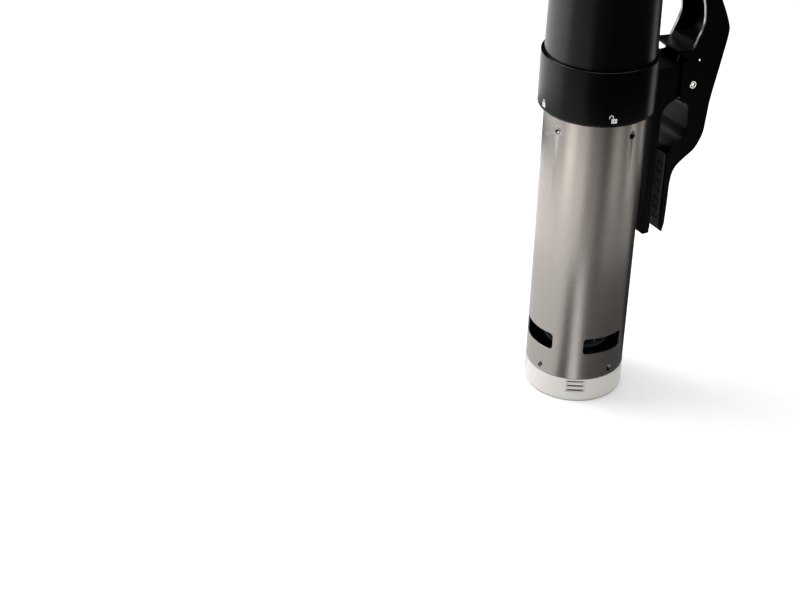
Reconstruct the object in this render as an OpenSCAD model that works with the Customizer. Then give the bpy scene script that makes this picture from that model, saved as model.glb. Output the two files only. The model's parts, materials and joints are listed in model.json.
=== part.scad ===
// Sous vide circulator: a heater and pump that clamps to the rim of a water bath.
// Millimetres, +Z up. The origin is the centre of the flat bottom, on the tube's axis.
// The display faces -Y and the clamp stands at +Y.

/* [Sleeve] */
// Outer radius of the steel sleeve
sleeve_r = 29.8; // [28:0.1:32]
// Wall of the steel sleeve
sleeve_wall = 0.8; // [0.6:0.1:1.2]
// Length of steel that shows between the base cap and the collar
sleeve_show = 170.2; // [150:0.1:200]
// How far the sleeve reaches up inside the collar
sleeve_lap = 5; // [4:0.5:6]
// Height of each flow slot
slot_h = 10.9; // [7:0.1:14]
// Arc that each flow slot spans, in degrees
slot_arc = 53; // [40:1:60]
// Height of the slots' lower edge above the bottom
slot_z = 33.4; // [32:0.1:40]
// Radius of an index dimple
dimple_r = 2.4; // [1.8:0.1:2.6]
// Angle of the dimples from the slots, in degrees
dimple_turn = 10.5; // [5:0.5:20]

/* [Base cap] */
// Height of the base cap that shows
base_h = 15.3; // [14:0.1:20]
// How far the cap stands proud of the sleeve
base_proud = 0.2; // [0.1:0.1:1]
// Floor of the base cap
base_floor = 2.5; // [2:0.1:4]
// Height of the spigot inside the sleeve
spigot_h = 8.7; // [8:0.1:10]
// Width of an inlet window
window_w = 12; // [8:0.5:14]
// Angle of the first inlet window, in degrees
window_turn = -31.5; // [-40:0.5:-25]

/* [Collar] */
// Height of the collar
collar_h = 33.2; // [30:0.1:40]
// Wall of the collar round the body
collar_wall = 1.85; // [1.6:0.05:2.4]
// Rounding of the collar's lower edge
collar_round = 2.2; // [1:0.1:3]

/* [Body] */
// How far the body stands out from the sleeve
body_step = 2.2; // [1.8:0.05:2.6]
// Height of the tapering body above the collar
body_h = 87.3; // [80:0.1:110]
// Taper of the body, in degrees
body_taper = 1; // [0:0.1:1.5]
// Wall of the body and the head
wall = 2.4; // [2:0.1:3]
// Width of a cooling vent
vent_w = 2.4; // [1.5:0.1:3]
// Height of a cooling vent
vent_h = 20; // [12:1:24]
// Number of cooling vents
vent_count = 7; // [3:2:9]

/* [Head] */
// Outer radius of the head
head_r = 35; // [34.5:0.1:37]
// Height of the head at its back
head_h = 69; // [64:0.5:80]
// Height of the flare under the head
flare_h = 16; // [12:1:18]
// Slope of the display face, in degrees
face_tilt = 35; // [25:1:38]
// Thickness of the fascia
fascia_t = 2.4; // [2:0.1:3]
// Width of the display window
window_lens_w = 36; // [30:1:38]
// Height of the display window along the slope
window_lens_h = 20; // [14:1:20]
// Radius of a push button
button_r = 5.5; // [4:0.1:6]
// Travel of a push button
button_travel = 1; // [0.5:0.1:1]
// Bore of the cord inlet, as a radius
gland_bore_r = 3.8; // [3:0.1:4.5]

/* [Clamp] */
// Width of the clamp bracket and the lever
clamp_w = 25.2; // [23:0.2:26]
// How far the pivot stands out from the collar
pivot_out = 24.75; // [24.2:0.05:25.4]
// Height of the pivot above the collar's lower edge
pivot_up = 5.3; // [5:0.1:5.6]
// Radius of the pivot screw's shank
pivot_r = 1.8; // [1.6:0.1:2]
// Radius of the arch over the rim
arch_r = 10; // [9:0.1:10.5]
// Thickness of the inner jaw
jaw_t = 4.5; // [4:0.1:4.5]
// Length of the jaw pads
pad_h = 48; // [30:1:50]
// Thickness of a jaw pad
pad_t = 1.5; // [1:0.1:1.5]
// Width of the bright edge strips
strip_w = 2.1; // [1.6:0.1:2.3]

/* [Inside] */
// Radius of the motor shaft
shaft_r = 3; // [2.5:0.1:3.2]
// Radius of the heater tube
heater_r = 3.2; // [2.5:0.1:3.4]
// Radius of the heater coil's centre line
coil_r = 16; // [15.5:0.1:17]
// Turns of the heater coil
coil_turns = 5; // [3:1:6]
// Rise of the heater coil in one turn
coil_pitch = 14; // [10:0.5:15]
// Radius of the motor
motor_r = 15.5; // [14:0.5:15.5]
// Height of the motor
motor_h = 46; // [36:1:48]
// Radius of the impeller
impeller_r = 20; // [14:0.5:22]
// Number of impeller blades
impeller_blades = 6; // [4:1:9]
// Number of cooling fan blades
fan_blades = 7; // [5:1:9]

/* [Hidden] */
$fn = 96;
cut = 0.1;            // overcut, so that no cut ends on a face
gap = 0.3;            // clearance between pieces that move apart
run = 0.05;           // running clearance of a shaft in its bore

sleeve_in = sleeve_r - sleeve_wall;
sleeve_z = base_h + gap;
collar_z = base_h + sleeve_show;
sleeve_top = collar_z + sleeve_lap;
body_r = sleeve_r + body_step;
collar_r = body_r + collar_wall;
collar_top = collar_z + collar_h;
lip_h = 2.5;
slot_w = 2 * sleeve_r * sin(slot_arc / 2);
slot_corner = 2.2;
dimple_out = 0.4;     // the dimple's centre stands this far outside the sleeve
dimple_in = sleeve_r + dimple_out - dimple_r;
dimple_low = base_h + 4.4;
dimple_high = collar_z - 8.6;
base_r = sleeve_r + base_proud;
spigot_r = sleeve_in - gap;
cap_in = spigot_r - 2.1;
window_h = 8.3;
window_z = 6;
window_depth = 0.8;
louvre_h = 1.8;
drain_r = 1.5;

ring_t = 2;
ring_top = sleeve_top + gap + ring_t;
ring_low = dimple_high - 6.9;
hub_r = dimple_in - 2.2;
hub_wall = 3;
hub_floor = 4;
clip_t = 1.6;
hub_in = hub_r - hub_wall;
hub_low = ring_low - clip_t - 6.4;
hub_top = hub_low + hub_floor;
flange_t = 4;
flange_z = ring_top + gap;
flange_top = flange_z + flange_t;
seal_r = 0.9;
seal_play = 0.05;     // the flange's clearance in the collar
body_low = flange_top + gap;
body_in = body_r - wall;
body_top = collar_top + body_h;
body_top_r = body_r - body_h * tan(body_taper);
screw_r = 1.5;
screw_head_r = 2.4;
screw_head_h = 1.9;
boss_r = 3.3;
boss_at = body_in - 2.6;
boss_h = 18;

mount_z = body_low + boss_h + 0.6;
mount_t = 3.9;
mount_r = body_in - 0.7;
post_r = 2.5;
post_at = body_in - gap - post_r;
bolt_ring = motor_r - 4.5;
bolt_head_r = 2.7;
motor_z = mount_z + mount_t;
motor_top = motor_z + motor_h;
motor_wall = 1.2;
bearing_r = 7;
bearing_h = 4;
shaft_low = slot_z - 4.4;
fan_z = motor_top + 11;
fan_r = motor_r + 2.5;
shaft_top = fan_z + 9;
board_t = 1.6;
board_y = fan_r + 2.5;

tube_r = shaft_r + 3;
tube_in = tube_r - 0.8;
tube_low = slot_z + 18.6;
tube_top = hub_low + 5;
bush_h = 8;
seal_h = 4;
seal_low = hub_top + 2;
seal_out = shaft_r + 3.4;
seal_wall = 2.2;
impeller_z = slot_z - 1.4;
impeller_hub_r = shaft_r + 4;
blade_h = 8;
blade_t = 1.5;
clip_h = 1.2;
leg_r = seal_out + heater_r + 0.2;
coil_low = tube_low + 12;
coil_end = hub_top + 8;
lead_turn = 180;
coil_turn = 12;
probe_r = 1.6;
rod_r = 1.25;
probe_at = coil_r + heater_r + probe_r + 1.2;
probe_angle = 310;
rod_angles = [40, 65];

face_z = body_top + head_h - head_r * tan(face_tilt);
head_in = head_r - wall;
bezel_w = 2.1;
bezel_t = 2.4;
bezel_proud = 0.8;
fascia_top = bezel_proud - bezel_t;
fascia_low = fascia_top - fascia_t;
fascia_foot = face_z - head_in * tan(face_tilt) + fascia_low / cos(face_tilt);
flare_top = min(body_top + flare_h, fascia_foot);
ledge_w = 1.1;
ledge_t = 2;
lens_v = 11;          // the window's centre, up the slope from the face's centre
lens_proud = 0.3;
panel_t = 2.8;
panel_edge = 1;
board_top = fascia_low - 5.9;
board_w = 40;
board_v = [-29, 20];
board_posts = [[-17, -25], [17, -25], [0, -6]];
button_places = [[-15, -10], [0, -19], [15, -10]];
button_proud = 1.4;
button_flange = 1.1;
button_flange_t = 1.2;
stem_r = 1.5;
stem_low = fascia_low - gap - button_flange_t - 1.1;
switch_top = stem_low - button_travel - 0.4;
switch_w = 6;
gland_z = face_z - 13.5;
gland_r = gland_bore_r + 1.6;
gland_flange = 1.3;
gland_seat = 0.5;
gland_out = 3.5;
gland_in = 2;

half = clamp_w / 2;
pivot_y = collar_r + pivot_out;
pivot_z = collar_z + pivot_up;
cheek_t = 2.5;
knuckle_half = half - cheek_t - gap;
knuckle_r = 7;
ear_gap = 4;
block_top = collar_z + 19.8;
block_bevel = 1;
shoulder_y = pivot_y - 11.6;
front_y = shoulder_y + 3.6;
arch_y = pivot_y - 0.6 - arch_r;
arch_z = collar_z - 12.2;
jaw_in = arch_y - arch_r - jaw_t;
jaw_out = jaw_in + jaw_t;
pad_top = collar_z - 37.5;
pad_low = pad_top - pad_h;
jaw_low = pad_low - 2;
jaw_gap = 5;
outer_seat = jaw_out + 2 * pad_t + jaw_gap;
channel_top = block_top + 2.3;
channel_low = arch_z + 4.7;
back_wall = 3.3;
bolt_r = 1.6;
bolt_z = block_top - 4.5;
bolt_x = 7;
bolt_l = 14;
bolt_head_h = 2.4;
bolt_seat = sqrt(pow(body_in, 2) - pow(bolt_x + bolt_head_r, 2));
head_screw_r = pivot_r + 0.6;
head_screw_t = 1.7;
head_proud = 0.5;
socket_r = 1.25;
pin_r = 0.8;
pin_y = pivot_y + 2.8;
pin_z = pivot_z + 15;
wire_r = 0.6;
spring_r = pivot_r + 1.7;
spring_turns = 4;
strip_proud = 0.3;
strip_deep = 1;
strip_inset = 0.4;
grip_wall = 2.9;

// ---------- helpers ----------

// Points of an arc in the plane, from one angle to another
function arc(centre, r, from, to, steps = 12) =
  [for (i = [0:steps]) let (a = from + (to - from) * i / steps)
    centre + r * [cos(a), sin(a)]];

// One point of a smooth curve through p1 and p2
function knot(p0, p1, p2, p3, t) =
  0.5 * (2 * p1 + (p2 - p0) * t + (2 * p0 - 5 * p1 + 4 * p2 - p3) * t * t
    + (3 * p1 - p0 - 3 * p2 + p3) * t * t * t);

// A smooth curve through a list of points
function smooth(p, steps = 4) =
  let (last = len(p) - 1)
  concat(
    [for (i = [0:last - 1], s = [0:steps - 1])
      knot(p[max(i - 1, 0)], p[i], p[i + 1], p[min(i + 2, last)], s / steps)],
    [p[last]]);

// A run of points moved sideways, to the left of its direction
function beside(p, d) =
  let (last = len(p) - 1)
  [for (i = [0:last])
    let (along = p[min(i + 1, last)] - p[max(i - 1, 0)], n = along / norm(along))
    p[i] + d * [-n[1], n[0]]];

function reversed(p) = [for (i = [len(p) - 1:-1:0]) p[i]];

function point_at(r, angle, z) = [r * cos(angle), r * sin(angle), z];

// The direction in which a path runs at one of its points
function direction(path, i) =
  let (last = len(path) - 1, t = path[min(i + 1, last)] - path[max(i - 1, 0)])
  t / norm(t);

module tube_between(r_out, r_in, low, high) {
  translate([0, 0, low])
    difference() {
      cylinder(r = r_out, h = high - low);
      translate([0, 0, -cut]) cylinder(r = r_in, h = high - low + 2 * cut);
    }
}

// A round-cornered rectangle made of exact squares and circles
module round_rect(w, h, r) {
  square([w - 2 * r, h], center = true);
  square([w, h - 2 * r], center = true);
  for (x = [-1, 1], y = [-1, 1])
    translate([x * (w / 2 - r), y * (h / 2 - r)]) circle(r = r);
}

module around(angles) {
  for (a = angles) rotate([0, 0, a]) children();
}

// Turns a drawing of (Y, Z) into a plate across X
module across(half_width) {
  rotate([90, 0, 90])
    translate([0, 0, -half_width])
      linear_extrude(height = 2 * half_width) children();
}

module x_rod(y, z, r, from, to) {
  translate([from, y, z]) rotate([0, 90, 0]) cylinder(r = r, h = to - from);
}

// A round rod swept along a path; refs holds a direction at each point that the
// path never runs along, which keeps the rings from twisting
module swept(path, r, refs, sides = 8) {
  last = len(path) - 1;
  points = [for (i = [0:last], s = [0:sides - 1])
    let (t = direction(path, i), a = cross(t, refs[i]), u = a / norm(a), w = 360 * s / sides)
    path[i] + r * (cos(w) * u + sin(w) * cross(t, u))];
  skin = [for (i = [0:last - 1], s = [0:sides - 1], k = [0, 1])
    let (n = (s + 1) % sides, a = i * sides, b = (i + 1) * sides)
    k == 0 ? [a + s, b + s, b + n] : [a + s, b + n, a + n]];
  ends = [[for (s = [0:sides - 1]) s], [for (s = [sides - 1:-1:0]) last * sides + s]];
  polyhedron(points = points, faces = concat(skin, ends), convexity = 10);
}

// ---------- sleeve and base cap ----------

slot_angles = [0, 90, 180, 270];
dimple_angles = [for (a = slot_angles) a + dimple_turn];
window_angles = [for (a = slot_angles) a + window_turn];

module dimples(r) {
  around(dimple_angles)
    for (z = [dimple_low, dimple_high])
      translate([sleeve_r + dimple_out, 0, z]) sphere(r = r, $fn = 48);
}

module flow_slots() {
  around(slot_angles)
    translate([sleeve_r / 2, 0, slot_z + slot_h / 2])
      rotate([90, 0, 90])
        linear_extrude(height = sleeve_r) round_rect(slot_w, slot_h, slot_corner);
}

module steel_sleeve() {
  color("silver")
    difference() {
      union() {
        tube_between(sleeve_r, sleeve_in, sleeve_z, sleeve_top);
        intersection() {
          dimples(dimple_r);
          cylinder(r = sleeve_r, h = sleeve_top);
        }
      }
      dimples(dimple_r - sleeve_wall);
      flow_slots();
    }
}

module inlet_windows() {
  around(window_angles) {
    translate([base_r - window_depth, -window_w / 2, window_z])
      cube([window_depth + cut, window_w, window_h]);
    for (i = [0, 1])
      translate([cap_in - cut, 1 - window_w / 2, window_z + window_h * (0.25 + 0.5 * i) - louvre_h / 2])
        cube([base_r - cap_in + 2 * cut, window_w - 2, louvre_h]);
  }
}

module base_cap() {
  bevel = 1.2;
  color("gainsboro")
    difference() {
      rotate_extrude()
        polygon([[0, 0], [base_r - bevel, 0], [base_r, bevel], [base_r, base_h],
          [spigot_r, base_h], [spigot_r, base_h + spigot_h - 1],
          [spigot_r - 1, base_h + spigot_h], [cap_in, base_h + spigot_h],
          [cap_in, base_floor], [0, base_floor]]);
      inlet_windows();
      around(dimple_angles)
        translate([cap_in - cut, -dimple_r - gap, base_h + 0.6])
          cube([base_r, 2 * (dimple_r + gap), spigot_h]);
      for (ring = [[9, 6], [18, 12]])
        around([for (i = [0:ring[1] - 1]) 360 * i / ring[1]])
          translate([ring[0], 0, -cut]) cylinder(r = drain_r, h = base_floor + 2 * cut);
    }
}

module locking_ring() {
  color("dimgray")
    difference() {
      union() {
        tube_between(spigot_r, hub_r + gap, ring_low, sleeve_top + gap);
        tube_between(sleeve_r + gap, hub_r + gap, sleeve_top + gap, ring_top);
      }
      around(dimple_angles)
        translate([hub_r, -dimple_r - gap, ring_low - cut])
          cube([base_r - hub_r, 2 * (dimple_r + gap), dimple_high + dimple_r + gap - ring_low + cut]);
    }
}

module ring_clip() {
  color("silver")
    difference() {
      tube_between(hub_r + 1.6, hub_r, ring_low - clip_t - 0.8, ring_low - 0.8);
      translate([0, -hub_r - 5, ring_low - clip_t - 2]) cube([8, 10, clip_t + 4]);
    }
}

// ---------- collar and body ----------

module collar() {
  lip_r = sleeve_r + gap + 0.05;
  top_bevel = 0.7;
  color("black")
    difference() {
      rotate_extrude()
        polygon(concat(
          [[lip_r, collar_z]],
          arc([collar_r - collar_round, collar_z + collar_round], collar_round, -90, 0, 6),
          [[collar_r, collar_top - top_bevel], [collar_r - top_bevel, collar_top],
           [body_r, collar_top], [body_r, collar_z + lip_h], [lip_r, collar_z + lip_h]]));
      bracket_bolt_holes();
    }
}

module body_bosses() {
  around([30, 150, 270])
    translate([boss_at, 0, body_low]) cylinder(r = boss_r, h = boss_h);
}

module vents() {
  step = 13;
  around([for (i = [0:vent_count - 1]) 90 + step * (i - (vent_count - 1) / 2)])
    translate([body_in / 2, -vent_w / 2, fan_z - vent_h / 2]) cube([body_r, vent_w, vent_h]);
}

module upper_housing() {
  color("black")
    difference() {
      union() {
        rotate_extrude()
          polygon([[body_in, body_low], [body_r, body_low], [body_r, collar_top],
            [body_top_r, body_top], [body_top_r - wall, body_top], [body_in, collar_top]]);
        intersection() {
          body_bosses();
          cylinder(r = body_in + cut, h = body_top);
        }
      }
      around([30, 150, 270])
        translate([boss_at, 0, body_low - cut]) cylinder(r = screw_r, h = boss_h - 4);
      bracket_bolt_holes();
      vents();
    }
}

module housing_screws() {
  color("silver")
    around([30, 150, 270])
      translate([boss_at, 0, flange_z]) {
        cylinder(r = screw_head_r, h = screw_head_h);
        cylinder(r = screw_r, h = body_low + boss_h - 6 - flange_z);
      }
}

// ---------- head ----------

// Places children in the slanted face: X across, Y up the slope, Z out of it
module on_face() {
  translate([0, 0, face_z]) rotate([face_tilt, 0, 0]) children();
}

// The stretch between two levels of the slanted face, big enough to cut with
module face_slab(low, high) {
  size = 4 * head_r;
  on_face() translate([-size / 2, -size / 2, low]) cube([size, size, high - low]);
}

module face_disc(r_out, low, high) {
  intersection() {
    translate([0, 0, body_top]) cylinder(r = r_out, h = 2 * head_h);
    face_slab(low, high);
  }
}

module face_ring(r_out, r_in, low, high) {
  difference() {
    face_disc(r_out, low, high);
    translate([0, 0, body_top - cut]) cylinder(r = r_in, h = 2 * head_h);
  }
}

function flare(r_low, r_high) =
  [for (i = [0:8]) let (t = i / 8, s = t * t * (3 - 2 * t))
    [r_low + (r_high - r_low) * s, body_top + (flare_top - body_top) * t]];

// Places children on the cord's axis, pointing out of the head's back
module towards_back(from) {
  translate([0, from, gland_z]) rotate([-90, 0, 0]) children();
}

module head_housing() {
  tall = head_h + 10;
  color("black")
    difference() {
      union() {
        difference() {
          rotate_extrude()
            polygon(concat(flare(body_top_r, head_r),
              [[head_r, body_top + tall], [head_in, body_top + tall]],
              reversed(flare(body_top_r - wall, head_in))));
          face_slab(0, 3 * head_h);
        }
        face_ring(head_in + cut, head_in - ledge_w, fascia_low - ledge_t, fascia_low);
        towards_back(head_in + gland_seat)
          cylinder(r = gland_r + gland_flange + gland_seat, h = wall);
      }
      towards_back(0) cylinder(r = gland_r, h = 2 * head_r);
    }
}

module window_block(w, h, low, high) {
  on_face()
    translate([-w / 2, lens_v - h / 2, low]) cube([w, h, high - low]);
}

module fascia() {
  color("black")
    difference() {
      union() {
        face_disc(head_in, fascia_low, fascia_top);
        for (p = board_posts)
          on_face() translate([p[0], p[1], board_top]) cylinder(r = 2.2, h = fascia_low - board_top + cut);
      }
      window_block(window_lens_w, window_lens_h, fascia_low - cut, fascia_top + cut);
      for (p = button_places)
        on_face() translate([p[0], p[1], fascia_low - cut]) cylinder(r = button_r + gap, h = fascia_t + 2 * cut);
      for (p = board_posts)
        on_face() translate([p[0], p[1], board_top - cut]) cylinder(r = 1.1, h = 5);
    }
}

module bezel_ring() {
  color("silver") face_ring(head_in, head_in - bezel_w, fascia_top, bezel_proud);
}

module display_lens() {
  color("darkslategray")
    window_block(window_lens_w, window_lens_h, fascia_low, fascia_top + lens_proud);
}

module display_panel() {
  color("seagreen")
    window_block(window_lens_w + 2 * panel_edge, window_lens_h + 2 * panel_edge,
      fascia_low - panel_t, fascia_low);
}

module control_board() {
  color("green")
    difference() {
      on_face()
        translate([-board_w / 2, board_v[0], board_top - board_t])
          cube([board_w, board_v[1] - board_v[0], board_t]);
      for (p = board_posts)
        on_face() translate([p[0], p[1], board_top - board_t - cut]) cylinder(r = 1.1, h = board_t + 2 * cut);
    }
}

module board_screws() {
  color("silver")
    for (p = board_posts)
      on_face()
        translate([p[0], p[1], board_top - board_t - 1.4]) {
          cylinder(r = 2, h = 1.4);
          cylinder(r = 1.1, h = board_t + 5);
        }
}

module tact_switches() {
  color("dimgray")
    for (p = button_places)
      on_face()
        translate([p[0] - switch_w / 2, p[1] - switch_w / 2, board_top])
          cube([switch_w, switch_w, switch_top - board_top]);
}

module push_button(place) {
  top = fascia_top + button_proud;
  bevel = 0.6;
  on_face()
    translate([place[0], place[1], 0])
      rotate_extrude()
        polygon([[0, stem_low], [stem_r, stem_low], [stem_r, fascia_low - gap - button_flange_t],
          [button_r + button_flange, fascia_low - gap - button_flange_t],
          [button_r + button_flange, fascia_low - gap], [button_r, fascia_low - gap],
          [button_r, top - bevel], [button_r - bevel, top], [0, top]]);
}

module minus_button() { color("gray") push_button(button_places[0]); }
module power_button() { color("gray") push_button(button_places[1]); }
module plus_button() { color("gray") push_button(button_places[2]); }

module cord_gland() {
  seat = head_r + gland_seat;
  color("black")
    difference() {
      union() {
        towards_back(head_in - gland_in) cylinder(r = gland_r - run, h = seat - head_in + gland_in + cut);
        towards_back(seat) cylinder(r = gland_r + gland_flange, h = gland_out - gland_seat);
      }
      towards_back(head_in - gland_in - cut) cylinder(r = gland_bore_r, h = head_r);
    }
}

// ---------- bulkhead and motor ----------

module wet_bore(r, at, angle) {
  translate(point_at(at, angle, hub_low - cut)) cylinder(r = r, h = coil_end - hub_low + 2 * cut);
}

module wet_bores() {
  translate([0, 0, hub_low - cut]) cylinder(r = tube_r, h = tube_top - hub_low + cut);
  wet_bore(heater_r, leg_r, 0);
  wet_bore(heater_r, coil_r, lead_turn + coil_turn);
  wet_bore(probe_r, probe_at, probe_angle);
  for (a = rod_angles) wet_bore(rod_r, probe_at, a);
}

module bulkhead() {
  boss = seal_out + seal_wall;
  boss_top = seal_low + seal_h;
  rim = body_r - seal_play;
  groove = 2 * seal_r;
  lip = flange_t / 4;
  color("dimgray")
    difference() {
      rotate_extrude()
        polygon([[shaft_r + 1, hub_low], [hub_r, hub_low], [hub_r, flange_z],
          [rim, flange_z], [rim, flange_z + lip], [rim - groove, flange_z + lip],
          [rim - groove, flange_top - lip], [rim, flange_top - lip], [rim, flange_top],
          [hub_in, flange_top], [hub_in, hub_top], [boss, hub_top],
          [boss, boss_top], [shaft_r + 1, boss_top]]);
      wet_bores();
      translate([0, 0, tube_top - cut]) cylinder(r = seal_out, h = boss_top - tube_top + 2 * cut);
      around([30, 150, 270])
        translate([boss_at, 0, flange_z - cut]) {
          cylinder(r = screw_r, h = flange_t + 2 * cut);
          cylinder(r = screw_head_r, h = screw_head_h + cut);
        }
    }
}

module bulkhead_seal() {
  color("black")
    rotate_extrude()
      translate([body_r - seal_r, (flange_z + flange_top) / 2]) circle(r = seal_r, $fn = 32);
}

module shaft_seal() {
  color("black")
    tube_between(seal_out, shaft_r + run, seal_low, seal_low + seal_h);
}

// A power switch of a standard package, and the finned plate behind it
triac_size = [10, 4, 16];
triac_y = -(seal_out + seal_wall + 1 + triac_size[1]);

module triac() {
  color("black")
    translate([-triac_size[0] / 2, triac_y, hub_top]) cube(triac_size);
}

module triac_heatsink() {
  fins = 4;
  fin = [1.4, 4, 22];
  plate = [16, 2, 22];
  color("silver")
    translate([-plate[0] / 2, triac_y - plate[1] - fin[1], hub_top]) {
      translate([0, fin[1], 0]) cube(plate);
      for (i = [0:fins - 1])
        translate([i * (plate[0] - fin[0]) / (fins - 1), 0, 0]) cube(fin + [0, cut, 0]);
    }
}

module motor_mount() {
  color("silver")
    difference() {
      union() {
        tube_between(mount_r, bearing_r + 1, mount_z, motor_z);
        around([90, 210, 330])
          translate([post_at, 0, flange_top]) cylinder(r = post_r, h = mount_z - flange_top + cut);
      }
      around([90, 210, 330])
        translate([bolt_ring, 0, mount_z - cut]) cylinder(r = screw_r, h = mount_t + 2 * cut);
    }
}

module motor_screws() {
  color("silver")
    around([90, 210, 330])
      translate([bolt_ring, 0, mount_z - screw_head_h]) {
        cylinder(r = bolt_head_r, h = screw_head_h);
        cylinder(r = screw_r, h = screw_head_h + mount_t + motor_wall);
      }
}

module motor_can() {
  color("silver")
    difference() {
      union() {
        translate([0, 0, motor_z]) cylinder(r = motor_r, h = motor_h);
        translate([0, 0, motor_top]) cylinder(r = bearing_r + 1.5, h = 2);
      }
      translate([0, 0, motor_z + motor_wall]) cylinder(r = motor_r - motor_wall, h = motor_h - 2 * motor_wall);
      translate([0, 0, motor_z - cut]) cylinder(r = bearing_r, h = motor_h + 2 + 2 * cut);
      around([90, 210, 330])
        translate([bolt_ring, 0, motor_z - cut]) cylinder(r = screw_r, h = motor_wall + 2 * cut);
    }
}

module motor_stator() {
  color("chocolate")
    tube_between(motor_r - motor_wall, motor_r - 6.3, motor_z + 7, motor_top - 7);
}

module motor_bearings() {
  color("silver") {
    tube_between(bearing_r, shaft_r + run, motor_z, motor_z + bearing_h);
    tube_between(bearing_r, shaft_r + run, motor_top + 2 - bearing_h, motor_top + 2);
  }
}

module motor_rotor() {
  color("gray") tube_between(motor_r - 6.7, shaft_r, motor_z + 8, motor_top - 8);
}

module motor_shaft() {
  color("silver")
    translate([0, 0, shaft_low]) cylinder(r = shaft_r, h = shaft_top - shaft_low);
}

module cooling_fan() {
  hub = shaft_r + 3.5;
  color("black") {
    tube_between(hub, shaft_r, fan_z - 5, fan_z + 5);
    around([for (i = [0:fan_blades - 1]) 360 * i / fan_blades])
      translate([hub - 0.6, 0, fan_z])
        rotate([35, 0, 0])
          translate([0, -0.6, -5]) cube([fan_r - hub, 1.2, 10]);
  }
}

module power_board() {
  low = motor_z;
  board_x = 26;
  high = body_top - 14;
  color("darkgreen")
    translate([-board_x / 2, board_y, low]) cube([board_x, board_t, high - low]);
  color("dimgray") {
    translate([-10, board_y - 4, low + 6]) cube([8, 4 + cut, 16]);
    translate([2, board_y - 4, low + 4]) cube([8, 4 + cut, 12]);
    translate([-4, board_y - 4, low + 28]) cube([12, 4 + cut, 9]);
  }
}

// ---------- heater, pump and sensors ----------

module shaft_tube() {
  color("silver") tube_between(tube_r, tube_in, tube_low, tube_top);
}

module lower_bush() {
  color("white") tube_between(tube_in, shaft_r + run, tube_low, tube_low + bush_h);
}

module impeller() {
  color("gray") {
    tube_between(impeller_hub_r, shaft_r, impeller_z, impeller_z + blade_h + 4);
    tube_between(impeller_r, shaft_r, impeller_z, impeller_z + 2);
    around([for (i = [0:impeller_blades - 1]) 360 * i / impeller_blades])
      translate([impeller_hub_r - 0.5, -blade_t / 2, impeller_z])
        cube([impeller_r - impeller_hub_r, blade_t, blade_h + 2]);
  }
}

module impeller_clip() {
  color("silver") tube_between(shaft_r + 2, shaft_r, impeller_z - clip_h, impeller_z);
}

// The heater: down the inner leg, out to the coil, up its turns, and up the outer leg
coil_steps = 18;
coil_path = concat(
  [for (z = [coil_end, hub_low, coil_low + 12]) point_at(leg_r, 0, z)],
  [for (i = [1:6]) let (t = i / 6) point_at(leg_r, 0, coil_low + 12 - 8 * t)],
  [for (i = [1:9]) let (t = i / 9, s = t * t * (3 - 2 * t))
    point_at(leg_r + (coil_r - leg_r) * s, lead_turn * t * t, coil_low + 4 - 4 * sin(90 * t))],
  [for (i = [1:coil_turns * coil_steps]) let (t = i / coil_steps)
    point_at(coil_r, lead_turn + 360 * t, coil_low + coil_pitch * t)],
  [for (i = [1:5]) let (t = i / 5)
    point_at(coil_r, lead_turn + coil_turn * (1 - pow(1 - t, 2)), coil_low + coil_pitch * coil_turns + 1 + 9 * t * t)],
  [for (z = [hub_low - 2, coil_end]) point_at(coil_r, lead_turn + coil_turn, z)]);

module heater_coil() {
  color("silver") swept(coil_path, heater_r, [for (p = coil_path) [p[0], p[1], 0]]);
}

module temperature_probe() {
  tip = tube_low + 4;
  color("silver")
    translate(point_at(probe_at, probe_angle, tip)) {
      sphere(r = probe_r, $fn = 32);
      cylinder(r = probe_r, h = coil_end - tip);
    }
}

module level_rods() {
  tips = [tube_low + 18, collar_z - 40];
  color("silver")
    for (i = [0, 1])
      translate(point_at(probe_at, rod_angles[i], tips[i])) cylinder(r = rod_r, h = coil_end - tips[i]);
}

// ---------- clamp ----------

module bolt_axes() {
  for (x = [-bolt_x, bolt_x])
    translate([x, bolt_seat, bolt_z]) rotate([-90, 0, 0]) children();
}

module bracket_bolt_holes() {
  bolt_axes() translate([0, 0, -wall]) cylinder(r = bolt_r, h = wall + bolt_l + gap);
}

module bracket_screws() {
  color("silver")
    bolt_axes() {
      translate([0, 0, -bolt_head_h]) cylinder(r = bolt_head_r, h = bolt_head_h);
      cylinder(r = bolt_r, h = bolt_l);
    }
}

module clamp_bracket() {
  ear_top = pivot_z + knuckle_r;
  color("black")
    difference() {
      union() {
        across(half)
          polygon(concat(
            [[jaw_in, jaw_low], [jaw_out, jaw_low]],
            arc([arch_y, arch_z], arch_r, 180, 180 - acos((arch_y - shoulder_y) / arch_r), 10),
            [[shoulder_y, block_top - block_bevel], [shoulder_y - block_bevel, block_top],
             [sleeve_r, block_top], [sleeve_r, collar_z],
             [jaw_in, collar_z - 1]]));
        across(knuckle_half)
          polygon([[shoulder_y - 1, arch_z + arch_r + 0.4], [pivot_y, pivot_z - knuckle_r],
            [pivot_y, ear_top], [shoulder_y + 4, block_top - 1], [shoulder_y - 1, block_top - 1]]);
        x_rod(pivot_y, pivot_z, knuckle_r, -knuckle_half, knuckle_half);
      }
      translate([0, 0, collar_z - 30]) cylinder(r = collar_r, h = 2 * collar_h);
      translate([-ear_gap, shoulder_y + 2, collar_z - 30]) cube([2 * ear_gap, 30, 2 * collar_h]);
      x_rod(pivot_y, pivot_z, pivot_r + run, -half, half);
      bracket_bolt_holes();
    }
}

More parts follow.
